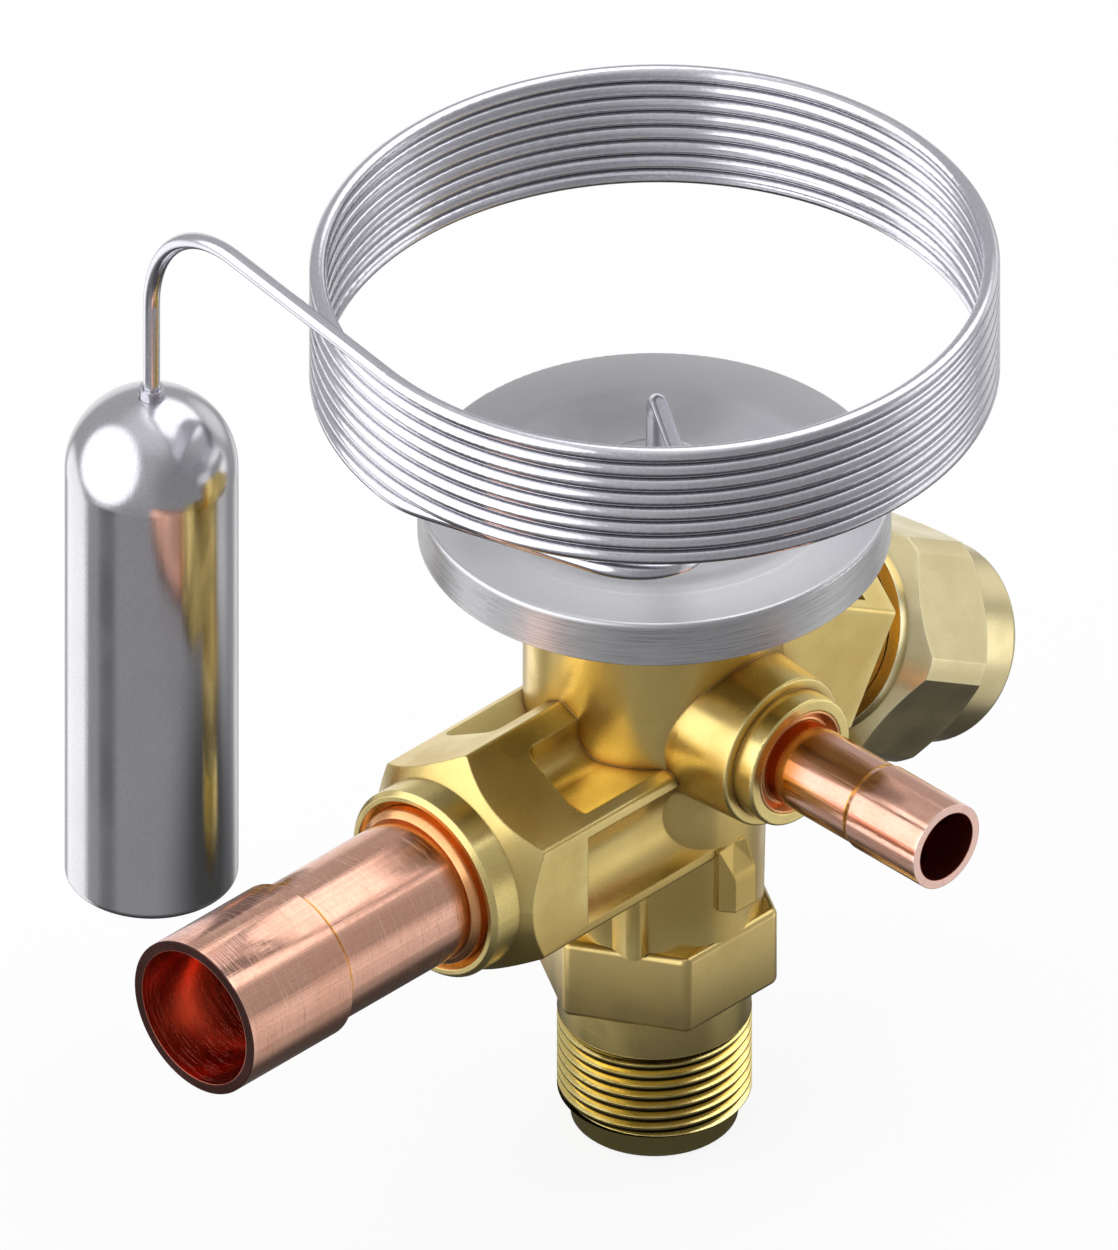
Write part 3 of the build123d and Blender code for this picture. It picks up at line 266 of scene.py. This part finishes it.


# Reach and tone of the painted shade in creases and contact lines
CREASE_REACH = 0.35 * MM
CREASE_SHADE_TONE = colour(74, 50, 24)
GRAIN = metal_grain_effect()
EDGES = edge_finder_effect()
TURNED = turned_marks_effect()
SCRATCHES = scratches_effect()


def use(tree, group, inputs):
    return add(tree, "ShaderNodeGroup", inputs, node_tree=group)


def new_metal(name):
    """Material with a metallic Principled shader; returns the tree and the shader."""
    material = bpy.data.materials.new(name)
    material.use_nodes = True
    tree = material.node_tree
    shader = tree.nodes["Principled BSDF"]
    shader.inputs["Metallic"].default_value = 1.0
    return material, tree, shader


def position_about(tree, centre=(0, 0, 0), turn=(0, 0, 0)):
    """Object coordinates, centred and turned so that Z runs along a piece's axis."""
    spot = add(tree, "ShaderNodeTexCoord").outputs["Object"]
    placed = add(tree, "ShaderNodeMapping", {"Location": centre, "Rotation": turn, "Scale": (1, 1, 1)},
                 vector_type="TEXTURE")
    tree.links.new(spot, placed.inputs[0])
    return placed.outputs[0]


def bumped(tree, shader, heights, base_normal=None):
    """Chains bumps, each (height socket, distance in millimetres), into the shader's normal."""
    normal = base_normal
    for height, distance in heights:
        made = add(tree, "ShaderNodeBump", {"Height": height, "Distance": distance * MM, "Strength": 1.0})
        if normal is not None:
            tree.links.new(normal, made.inputs["Normal"])
        normal = made.outputs[0]
    tree.links.new(normal, shader.inputs["Normal"])


def distance_from_axis(tree, split):
    """Distance from the pattern's Z axis, from its split position."""
    across = add(tree, "ShaderNodeCombineXYZ", {0: split[0], 1: split[1]}).outputs[0]
    return add(tree, "ShaderNodeVectorMath", {0: across}, operation="LENGTH").outputs["Value"]


def worked_metal(name, body_tone, patch_tone, shade_and_mark_tone, highlight_and_scratch_tone, roughness,
                 centre=(0, 0, 0), turn=(0, 0, 0), patch_size=5.0, grain_size=0.2, speck_size=0.2,
                 speck_tone=None, speck_share=0.8, reach=0.6,
                 edge_break=0.2, grain_depth=0.008, ring_depth=0.0, ring_width=0.12, patch_share=0.5,
                 scratch_depth=0.0, scratch_axis="Across", scratch_radius=6.0, rough_spread=0.06,
                 edge_highlight_share=0.6, hollow_shade_share=0.8, streak_depth=0.0, brush_depth=0.0, bands=(), inside=None,
                 ridges=(), brush_share=0.0, streak_share=0.0, crease_shade_share=0.0, brush_top=None,
                 scratch_share=0.0):
    """Metal whose tone, gloss and relief follow its grain, edges, tool rings and scratches, with painted
    shade in its hollows and creases and a painted highlight on its edges.

    Sizes and depths are in millimetres along the piece's own axis, and shares run from 0 to 1. Each of bands
    is (height, half width, tone), inside is (radius, tone, roughness), and each of ridges is (radius, half
    width, depth). Brushing stops above brush_top, which is in metres.
    """
    material, tree, shader = new_metal(name)
    place = position_about(tree, centre, turn)
    grain = use(tree, GRAIN, {"Position": place, "Patch Size": patch_size, "Grain Size": grain_size,
                              "Speck Size": speck_size})
    edges = use(tree, EDGES, {"Reach": reach * MM, "Break": edge_break * MM})
    patches = spread(tree, grain.outputs["Patches"], 0.35, 0.68)
    tone = blend(tree, maths(tree, "MULTIPLY", patches, patch_share), body_tone, patch_tone)
    tone = blend(tree, maths(tree, "MULTIPLY", spread(tree, grain.outputs["Grain"], 0.3, 0.7), 0.22), tone,
                 blend(tree, 0.5, body_tone, shade_and_mark_tone))
    # Painted shade: the hollows and inner corners are darkened
    tone = blend(tree, maths(tree, "MULTIPLY", edges.outputs["Hollow"], hollow_shade_share), tone, shade_and_mark_tone)
    # Painted highlight along the outer edges, which also stands for rubbed wear
    tone = blend(tree, maths(tree, "MULTIPLY", edges.outputs["Edge"], edge_highlight_share), tone, highlight_and_scratch_tone)
    if speck_tone:
        near = spread(tree, edges.outputs["Edge"], 0.0, 0.7, 0.25, 1.0)
        specks = maths(tree, "MULTIPLY", maths(tree, "MULTIPLY", grain.outputs["Specks"], near), speck_share)
        tone = blend(tree, specks, tone, speck_tone)
    split = add(tree, "ShaderNodeSeparateXYZ", {0: place}).outputs
    if crease_shade_share:
        # Painted shade: dark lines in the creases
        crease = use(tree, EDGES, {"Reach": CREASE_REACH, "Break": edge_break * MM}).outputs["Hollow"]
        tone = blend(tree, maths(tree, "MULTIPLY", crease, crease_shade_share), tone, CREASE_SHADE_TONE)
    if scratch_depth or streak_depth or brush_depth:
        marks = use(tree, SCRATCHES, {"Position": place, "Radius": scratch_radius})
        brushed, streaked = marks.outputs["Brushed"], marks.outputs["Streaks"]
        scratched = spread(tree, marks.outputs[scratch_axis], 0.60, 0.66)
        if brush_top:
            brushed = maths(tree, "MULTIPLY", brushed,
                            spread(tree, split[2], brush_top + 0.05 * MM, brush_top - 0.05 * MM))
        for mark, share, mark_tone in ((spread(tree, brushed, 0.48, 0.66), brush_share, shade_and_mark_tone),
                                       (spread(tree, streaked, 0.48, 0.66), streak_share, shade_and_mark_tone),
                                       (scratched, scratch_share, highlight_and_scratch_tone)):
            if share:
                tone = blend(tree, maths(tree, "MULTIPLY", mark, share), tone, mark_tone)
    for height, half_width, band_tone in bands:
        away = maths(tree, "ABSOLUTE", maths(tree, "SUBTRACT", split[2], height * MM))
        tone = blend(tree, spread(tree, away, half_width * 1.6 * MM, half_width * 0.4 * MM), tone, band_tone)
    if inside:
        radius, inner_tone, inner_roughness = inside
        within = spread(tree, distance_from_axis(tree, split), (radius + 0.06) * MM, (radius - 0.06) * MM)
        tone = blend(tree, within, tone, inner_tone)
    tree.links.new(tone, shader.inputs["Base Color"])
    gloss = spread(tree, grain.outputs["Patches"], 0.3, 0.7,
                   roughness - rough_spread, roughness + rough_spread)
    if inside:
        gloss = add(tree, "ShaderNodeMix", {0: within, 2: gloss, 3: inner_roughness}).outputs[0]
    tree.links.new(gloss, shader.inputs["Roughness"])
    reliefs = [(grain.outputs["Grain"], grain_depth)]
    if ring_depth:
        turned = use(tree, TURNED, {"Position": place, "Width": ring_width})
        reliefs.append((turned.outputs["Rings"], ring_depth))
    for radius, half_width, depth in ridges:
        away = maths(tree, "ABSOLUTE", maths(tree, "SUBTRACT", distance_from_axis(tree, split), radius * MM))
        reliefs.append((spread(tree, away, half_width * MM, 0.0), depth))
    if streak_depth:
        reliefs.append((streaked, streak_depth))
    if brush_depth:
        reliefs.append((brushed, brush_depth))
    if scratch_depth:
        reliefs.append((scratched, -scratch_depth))
    bumped(tree, shader, reliefs, edges.outputs["Normal"])
    return material


ALONG_X = (0, pi / 2, 0)
ALONG_Y = (pi / 2, 0, 0)
ALONG_ADJUSTER = (0, pi / 2 + ADJUSTER_SLANT, 0)

# The band about 28.5 mm high is painted shade on the column and web under the outlet arm
FORGED_BRASS = worked_metal(
    "forged brass", colour(230, 205, 130), colour(218, 188, 110), colour(162, 106, 38),
    colour(255, 240, 168), 0.28, speck_tone=colour(96, 82, 48), speck_share=0.4, speck_size=0.1,
    grain_size=0.1, grain_depth=0.003, edge_break=0.2, reach=1.8, hollow_shade_share=0.85, crease_shade_share=0.8,
    bands=((28.5, 4.5, colour(204, 176, 104)),))
TURNED_BRASS = worked_metal(
    "turned brass", colour(232, 210, 138), colour(220, 196, 120), colour(120, 96, 52),
    colour(255, 242, 184), 0.25, speck_tone=colour(74, 66, 44), speck_share=0.8, speck_size=0.12,
    crease_shade_share=0.6, ring_depth=0.003, grain_depth=0.003, edge_break=0.12)
MILLED_BRASS = worked_metal(
    "milled brass", colour(218, 194, 128), colour(208, 182, 112), colour(150, 104, 46),
    colour(240, 222, 160), 0.30, speck_tone=colour(96, 82, 48), speck_share=0.3, speck_size=0.1,
    grain_size=0.1, grain_depth=0.003, edge_break=0.07, edge_highlight_share=0.12, crease_shade_share=0.5)
# The thread roots inside 7.6 mm are painted dark: painted shade in the valleys
THREAD_BRASS = worked_metal(
    "thread brass", colour(250, 222, 130), colour(240, 208, 116), colour(56, 48, 32), colour(255, 246, 180),
    0.20, speck_tone=colour(40, 38, 30), speck_share=0.6, grain_depth=0.003, edge_break=0.05, reach=0.4,
    hollow_shade_share=0.6, inside=(7.60, colour(60, 52, 34), 0.45))
# The neck's orange-brown tone is painted reflection of the brass round it and painted shade in the gap
NECK_BRASS_PAINTED_SHADE = worked_metal(
    "neck brass painted shade", colour(226, 180, 98), colour(212, 160, 80), colour(120, 62, 18), colour(240, 190, 110),
    0.28, centre=(0, 0, APEX_Z), turn=ALONG_ADJUSTER, grain_depth=0.003, edge_break=0.12)
CAP_BRASS = worked_metal(
    "cap brass", colour(232, 217, 168), colour(222, 206, 154), colour(110, 92, 56), colour(255, 250, 214),
    0.25, centre=(0, 0, APEX_Z), turn=ALONG_ADJUSTER, speck_tone=colour(70, 64, 48), speck_share=0.5,
    speck_size=0.12, grain_size=0.1, grain_depth=0.002, edge_break=0.12, edge_highlight_share=0.8, crease_shade_share=0.5)
OUTLET_COPPER = worked_metal(
    "outlet copper", colour(241, 188, 163), colour(230, 168, 140), colour(120, 48, 32),
    colour(255, 214, 192), 0.13, centre=(0, 0, OUTLET_Z), turn=ALONG_X, scratch_depth=0.005,
    scratch_radius=6.3, edge_break=0.1, grain_depth=0.001, streak_share=0.12, scratch_share=0.55,
    streak_depth=0.010, bands=((-41.4, 0.20, colour(226, 160, 84)), (-27.6, 1.3, colour(196, 116, 66)),
    (-53.36, 0.10, colour(84, 52, 46))), inside=(6.03, colour(250, 140, 108), 0.24))
EQUALIZER_COPPER = worked_metal(
    "equalizer copper", colour(242, 190, 166), colour(232, 172, 144), colour(120, 48, 32),
    colour(255, 214, 192), 0.14, centre=(0, 0, BOSS_Z), turn=ALONG_Y, scratch_depth=0.003,
    scratch_axis="Along", scratch_radius=3.6, edge_break=0.1, grain_depth=0.001, streak_depth=0.006,
    bands=((25.5, 0.10, colour(236, 176, 104)), (17.4, 2.4, colour(196, 124, 66)),
    (33.84, 0.12, colour(255, 214, 200))), inside=(3.07, colour(226, 128, 100), 0.26))
BRAZE = worked_metal(
    "braze", colour(222, 146, 92), colour(204, 124, 74), colour(110, 44, 26), colour(246, 190, 134), 0.24,
    grain_depth=0.004, grain_size=0.35, edge_break=0.15, patch_size=2.0)
ELEMENT_STEEL = worked_metal(
    "element steel", colour(212, 212, 213), colour(206, 206, 207), colour(130, 130, 132),
    colour(236, 236, 237), 0.34, ring_depth=0.0015, ring_width=0.3, grain_depth=0.0015, grain_size=0.12,
    edge_break=0.12, patch_share=0.3, edge_highlight_share=0.2, hollow_shade_share=0.2, rough_spread=0.03,
    brush_depth=0.012, scratch_radius=19.4, brush_share=0.6, brush_top=BRUSHED_TOP,
    ridges=((14.1, 1.5, 0.04),))
CAPILLARY_STEEL = worked_metal(
    "capillary steel", colour(222, 221, 227), colour(212, 211, 217), colour(120, 118, 124),
    colour(244, 244, 250), 0.16, grain_depth=0.0006, grain_size=0.3, edge_break=0.05, patch_size=6.0,
    hollow_shade_share=0.4, edge_highlight_share=0.0)
BULB_STEEL = worked_metal(
    "bulb steel", colour(210, 209, 213), colour(202, 201, 205), colour(110, 108, 112),
    colour(240, 240, 245), 0.15, centre=(BULB_X, BULB_Y, 0), grain_depth=0.003, grain_size=0.2,
    edge_break=0.25, patch_size=12.0, streak_depth=0.004, scratch_radius=7.1, edge_highlight_share=0.0,
    rough_spread=0.03)
INNER_STEEL = worked_metal(
    "inner steel", colour(170, 170, 172), colour(150, 150, 152), colour(80, 80, 82), colour(210, 210, 212),
    0.35, grain_depth=0.003)
SPRING_STEEL = worked_metal(
    "spring steel", colour(150, 150, 156), colour(132, 132, 138), colour(70, 70, 74), colour(200, 200, 206),
    0.3, grain_depth=0.002)


def soft_part(name, tone, patch_tone, roughness, grain_size, grain_depth):
    """Rubber or pressed fibre, with its own mottled tone and grain."""
    material, tree, shader = new_metal(name)
    shader.inputs["Metallic"].default_value = 0.0
    place = position_about(tree)
    grain = use(tree, GRAIN, {"Position": place, "Patch Size": 1.5, "Grain Size": grain_size})
    tree.links.new(blend(tree, spread(tree, grain.outputs["Patches"], 0.35, 0.65), tone, patch_tone),
                   shader.inputs["Base Color"])
    tree.links.new(spread(tree, grain.outputs["Grain"], 0.3, 0.7, roughness - 0.08, roughness + 0.08),
                   shader.inputs["Roughness"])
    bumped(tree, shader, [(grain.outputs["Grain"], grain_depth)])
    return material


SEAL_RUBBER = soft_part("seal rubber", colour(38, 38, 40), colour(52, 52, 54), 0.55, 0.15, 0.006)
GASKET_FIBRE = soft_part("gasket fibre", colour(120, 86, 60), colour(96, 66, 44), 0.75, 0.12, 0.012)

NODE_MATERIALS = {
    "valve_body": FORGED_BRASS, "outlet_tube": OUTLET_COPPER, "outlet_braze_ring": BRAZE,
    "equalizer_tube": EQUALIZER_COPPER, "equalizer_braze_ring": BRAZE, "element_cover": ELEMENT_STEEL,
    "capillary_tube": CAPILLARY_STEEL, "capillary_ferrule": CAPILLARY_STEEL, "bulb_ferrule": CAPILLARY_STEEL,
    "sensing_bulb": BULB_STEEL, "spindle_housing": NECK_BRASS_PAINTED_SHADE, "seal_cap": CAP_BRASS,
    "element_base": ELEMENT_STEEL, "element_gasket": GASKET_FIBRE, "diaphragm": INNER_STEEL,
    "pressure_plate": INNER_STEEL, "push_pin": INNER_STEEL, "guide_bush": TURNED_BRASS,
    "pin_seal": SEAL_RUBBER, "orifice_seat": INNER_STEEL, "valve_cone": INNER_STEEL,
    "cone_spring": SPRING_STEEL, "spring_retainer": TURNED_BRASS, "strainer_frame": TURNED_BRASS,
    "strainer_mesh": INNER_STEEL, "superheat_spring": SPRING_STEEL, "spring_seat": TURNED_BRASS,
    "adjusting_nut": TURNED_BRASS, "adjusting_spindle": INNER_STEEL, "spindle_o_ring": SEAL_RUBBER,
    "cap_gasket": GASKET_FIBRE,
}


def dress_nodes():
    """Gives every CAD node its material."""
    for name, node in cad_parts.items():
        node.data.materials.clear()
        node.data.materials.append(NODE_MATERIALS[name])


def cut_away(piece, cutter):
    """Takes the cutter's shape out of a piece, then removes the cutter."""
    pick(piece)
    cut = piece.modifiers.new("cut", "BOOLEAN")
    cut.operation, cut.object, cut.solver = "DIFFERENCE", cutter, "EXACT"
    bpy.ops.object.modifier_apply(modifier="cut")
    bpy.data.objects.remove(cutter)


def finish_metal(piece, material):
    """Shades a machined piece smooth up to its sharp edges and gives it its one material."""
    pick(piece)
    bpy.ops.object.shade_smooth_by_angle(angle=MACHINED_EDGE)
    piece.data.materials.clear()
    piece.data.materials.append(material)


def thread_cutter():
    """Helical groove for the inlet thread, swept from one small profile."""
    outer = THREAD_RADIUS + 0.2 * MM
    root = THREAD_RADIUS - THREAD_DEPTH
    wide = 0.40 * THREAD_PITCH * (outer - root) / THREAD_DEPTH
    low = TIP_TOP - 0.3 * THREAD_PITCH
    bpy.ops.mesh.primitive_plane_add(size=1.0, location=(0, 0, 0))
    cutter = bpy.context.object
    cutter.name = "thread_cutter"
    corners = [(root, low - 0.06 * MM), (outer, low - wide), (root, low + 0.06 * MM), (outer, low + wide)]
    for vertex, (radius, height) in zip(cutter.data.vertices, corners):
        vertex.co = (radius, 0, height)
    pick(cutter)
    screw = cutter.modifiers.new("groove", "SCREW")
    screw.axis, screw.angle, screw.screw_offset = "Z", 2 * pi, THREAD_PITCH
    screw.steps = screw.render_steps = ROUND_STEPS
    screw.iterations = 8
    bpy.ops.object.modifier_apply(modifier="groove")
    bpy.ops.object.mode_set(mode="EDIT")
    bpy.ops.mesh.select_all(action="SELECT")
    bpy.ops.mesh.remove_doubles(threshold=1e-6)
    bpy.ops.mesh.select_all(action="DESELECT")
    bpy.ops.mesh.select_non_manifold()
    bpy.ops.mesh.edge_face_add()
    bpy.ops.mesh.select_all(action="SELECT")
    bpy.ops.mesh.normals_make_consistent(inside=False)
    bpy.ops.object.mode_set(mode="OBJECT")
    return cutter


def inlet_thread():
    """Threaded sleeve of the inlet end, cut from a turned bar."""
    height = THREAD_TOP - TIP_TOP
    bpy.ops.mesh.primitive_cylinder_add(vertices=ROUND_STEPS, radius=THREAD_RADIUS, depth=height,
                                        location=(0, 0, 0))
    sleeve = bpy.context.object
    sleeve.name = "inlet_thread"
    sleeve.data.transform(Matrix.Translation((0, 0, TIP_TOP + height / 2)))
    cut_away(sleeve, thread_cutter())
    finish_metal(sleeve, THREAD_BRASS)
    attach(sleeve, "body")


def inlet_hexagon():
    """Spanner hexagon round the inlet, milled from a bar and bored to go round the column."""
    height = HEX_TOP - HEX_BOTTOM
    bpy.ops.mesh.primitive_cylinder_add(vertices=6, radius=HEX_CORNER, depth=height, location=(0, 0, 0))
    bar = bpy.context.object
    bar.name = "inlet_hexagon"
    bar.data.transform(Matrix.Translation((0, 0, HEX_BOTTOM + height / 2)) @ Matrix.Rotation(pi / 6, 4, "Z"))
    for part in (*bar.data.vertices, *bar.data.edges, *bar.data.polygons):
        part.select = False
    for edge in bar.data.edges:
        low, high = (bar.data.vertices[i].co for i in edge.vertices)
        edge.select = abs(low.z - high.z) > height / 2
    pick(bar)
    bpy.ops.object.mode_set(mode="EDIT")
    bpy.ops.mesh.bevel(offset=HEX_CORNER_ROUND, segments=8, affect="EDGES")
    bpy.ops.object.mode_set(mode="OBJECT")
    bpy.ops.mesh.primitive_cylinder_add(vertices=ROUND_STEPS, radius=HEX_BORE, depth=height * 2,
                                        location=(0, 0, 0))
    core = bpy.context.object
    core.data.transform(Matrix.Translation((0, 0, HEX_BOTTOM + height / 2)))
    cut_away(bar, core)
    finish_metal(bar, MILLED_BRASS)
    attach(bar, "body")


def copy_of_node(node, name):
    """Copy of a CAD node's mesh as a new piece."""
    copy = bpy.data.objects.new(name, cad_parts[node].data.copy())
    bpy.context.scene.collection.objects.link(copy)
    return copy


def dressed_body():
    """The forging, open where the thread and hexagon stand, with turned and forged brass in their places."""
    body = copy_of_node("valve_body", "forged_valve_body")
    body.data.materials.clear()
    for material in (FORGED_BRASS, TURNED_BRASS):
        body.data.materials.append(material)
    for part in (*body.data.vertices, *body.data.edges):
        part.select = False
    for face in body.data.polygons:
        corners = [body.data.vertices[i].co for i in face.vertices]
        face.material_index = 0
        if face.center.z < HEX_BOTTOM + SLACK or max(c.x for c in corners) < OUTLET_HEX_END + SLACK:
            face.material_index = 1
        band = all(TIP_TOP - SLACK < c.z < THREAD_TOP + SLACK for c in corners)
        face.select = band and all(abs(Vector(c[:2]).length - THREAD_RADIUS) < SLACK for c in corners)
        if all(HEX_BOTTOM - SLACK < c.z < HEX_TOP + SLACK for c in corners):
            reach_out = [Vector(c[:2]).length for c in corners]
            face.select = min(reach_out) > HEX_BORE and max(reach_out) > THREAD_RADIUS + 0.4 * MM
    pick(body)
    bpy.ops.object.mode_set(mode="EDIT")
    bpy.ops.mesh.delete(type="FACE")
    bpy.ops.object.mode_set(mode="OBJECT")
    for vertex in body.data.vertices:
        spot = vertex.co
        on_column = abs(Vector(spot[:2]).length - COLUMN_RADIUS) < 2 * SLACK
        if on_column and HEX_BOTTOM - SLACK < spot.z < WAIST_TOP:
            share = (WAIST_TOP - spot.z) / (WAIST_TOP - HEX_BOTTOM)
            narrowing = 1 - share * (1 - WAIST_RADIUS / COLUMN_RADIUS)
            spot.x, spot.y = spot.x * narrowing, spot.y * narrowing
    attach(body, "body")
    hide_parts("valve_body")


def dressed_cover():
    """The pressed cover with its wide top drawn nearly flat round the boss."""
    cover = copy_of_node("element_cover", "pressed_element_cover")
    for vertex in cover.data.vertices:
        spot = vertex.co
        out = Vector(spot[:2]).length
        if spot.z > RIM_TOP + 0.05 * MM and BOSS_FOOT < out < SHOULDER_OUT:
            spot.z = RIM_TOP + (spot.z - RIM_TOP) * COVER_FLATNESS
    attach(cover, "body")
    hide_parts("element_cover")


def lighter_capillary():
    """The drawn tube with fewer, still fine faces."""
    tube = copy_of_node("capillary_tube", "drawn_capillary")
    pick(tube)
    thinned = tube.modifiers.new("thinned", "DECIMATE")
    thinned.ratio = CAPILLARY_KEPT
    bpy.ops.object.modifier_apply(modifier="thinned")
    pick(tube)
    bpy.ops.object.shade_smooth_by_angle(angle=DRAWN_EDGE)
    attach(tube, "body")
    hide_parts("capillary_tube")


def add_camera():
    """Camera at the photograph's angle."""
    data = bpy.data.cameras.new("photograph view")
    data.type, data.ortho_scale = "ORTHO", VIEW_HEIGHT
    data.clip_start, data.clip_end = 0.1, 20.0
    camera = bpy.data.objects.new("photograph view", data)
    bpy.context.scene.collection.objects.link(camera)
    camera.location = VIEW_TARGET + VIEW_BACK * VIEW_DISTANCE
    camera.rotation_euler = VIEW_BACK.to_track_quat("Z", "Y").to_euler()
    bpy.context.scene.camera = camera


def toward(azimuth, elevation):
    """Direction in the room, turned clockwise from straight behind the valve as the camera sees it."""
    turn, rise = radians(45 - azimuth), radians(elevation)
    return (cos(rise) * cos(turn), cos(rise) * sin(turn), sin(rise))


def patch_of_room(tree, direction, azimuth, elevation, reach, soft):
    """Round patch of the room about a direction: 1 inside its reach, fading to 0; degrees."""
    near = add(tree, "ShaderNodeVectorMath", {0: direction, 1: toward(azimuth, elevation)},
               operation="DOT_PRODUCT")
    return spread(tree, near.outputs["Value"], cos(radians(reach + soft)), cos(radians(reach - soft)))


def add_studio():
    """Grey room with two round softboxes and low reflectors, white to the eye.

    The metal sees the white only within BACKDROP, and the grey room everywhere else.
    """
    world = bpy.data.worlds.new("studio")
    bpy.context.scene.world = world
    world.use_nodes = True
    tree = world.node_tree
    tree.nodes.clear()
    direction = add(tree, "ShaderNodeTexCoord").outputs["Generated"]
    height = add(tree, "ShaderNodeSeparateXYZ", {0: direction}).outputs[2]
    ramp = tree.nodes.new("ShaderNodeValToRGB")
    rise = add(tree, "ShaderNodeMath", {0: height, 1: 0.5, 2: 0.5}, operation="MULTIPLY_ADD").outputs[0]
    tree.links.new(rise, ramp.inputs[0])
    while len(ramp.color_ramp.elements) < len(ROOM_LEVELS):
        ramp.color_ramp.elements.new(0.5)
    for stop, (elevation, level) in zip(ramp.color_ramp.elements, ROOM_LEVELS):
        stop.position = 0.5 + 0.5 * sin(radians(elevation))
        stop.color = (level, level, 1.03 * level, 1)
    room = ramp.outputs[0]
    for azimuth, elevation, reach, soft, tone in ROOM_PATCHES:
        mask = patch_of_room(tree, direction, azimuth, elevation, reach, soft)
        room = blend(tree, mask, room, (*tone, 1))
    room_light = add(tree, "ShaderNodeBackground", {0: room, 1: 1.0})
    white = add(tree, "ShaderNodeBackground", {0: (1, 1, 1, 1), 1: 1.0})
    path = add(tree, "ShaderNodeLightPath")
    eye = maths(tree, "MAXIMUM", path.outputs["Is Camera Ray"], path.outputs["Is Transmission Ray"])
    mirrored = maths(tree, "MULTIPLY", path.outputs["Is Glossy Ray"],
                     patch_of_room(tree, direction, *BACKDROP))
    eye = maths(tree, "MAXIMUM", eye, mirrored)
    shown = add(tree, "ShaderNodeMixShader", {0: eye, 1: room_light.outputs[0], 2: white.outputs[0]})
    output = add(tree, "ShaderNodeOutputWorld")
    tree.links.new(shown.outputs[0], output.inputs[0])


def add_floor():
    """Pale floor under the inlet face; the metal sees the room's own lower half through it, and a painted
    shadow beneath the valve.
    """
    bpy.ops.mesh.primitive_plane_add(size=FLOOR_SIZE, location=(0, 0, 0))
    floor = bpy.context.object
    floor.name = "studio_floor"
    floor.data.transform(Matrix.Translation((0, 0, cad_low.z - FLOOR_DROP)))
    material = bpy.data.materials.new("studio floor")
    material.use_nodes = True
    tree = material.node_tree
    tree.nodes.clear()
    spot = add(tree, "ShaderNodeTexCoord").outputs["Object"]
    away = add(tree, "ShaderNodeVectorMath", {0: spot}, operation="LENGTH").outputs["Value"]
    # Painted shadow: a dark patch the metal sees beneath the valve
    under = spread(tree, away, SHADE_OUT, SHADE_FULL)
    shade = add(tree, "ShaderNodeEmission", {0: (0.07, 0.07, 0.07, 1), 1: 1.0})
    paper = add(tree, "ShaderNodeBsdfDiffuse", {0: (0.9, 0.9, 0.9, 1)})
    white = add(tree, "ShaderNodeEmission", {0: (1, 1, 1, 1), 1: 1.0})
    lit = add(tree, "ShaderNodeMixShader", {0: FLOOR_SHADOW, 1: white.outputs[0], 2: paper.outputs[0]})
    path = add(tree, "ShaderNodeLightPath")
    clear = add(tree, "ShaderNodeBsdfTransparent")
    above = maths(tree, "SUBTRACT", 1.0, add(tree, "ShaderNodeNewGeometry").outputs["Backfacing"])
    eye = maths(tree, "MULTIPLY", maths(tree, "MAXIMUM", path.outputs["Is Camera Ray"],
                                        path.outputs["Is Transmission Ray"]), above)
    seen = add(tree, "ShaderNodeMixShader", {0: maths(tree, "MULTIPLY", under, above), 1: clear.outputs[0],
                                             2: shade.outputs[0]})
    shown = add(tree, "ShaderNodeMixShader", {0: eye, 1: seen.outputs[0], 2: lit.outputs[0]})
    output = add(tree, "ShaderNodeOutputMaterial")
    tree.links.new(shown.outputs[0], output.inputs[0])
    floor.data.materials.append(material)


deselect_all()
add_camera()
add_studio()
add_floor()
dress_nodes()
inlet_thread()
inlet_hexagon()
dressed_body()
dressed_cover()
lighter_capillary()

scene = bpy.context.scene
scene.view_settings.view_transform = "Standard"
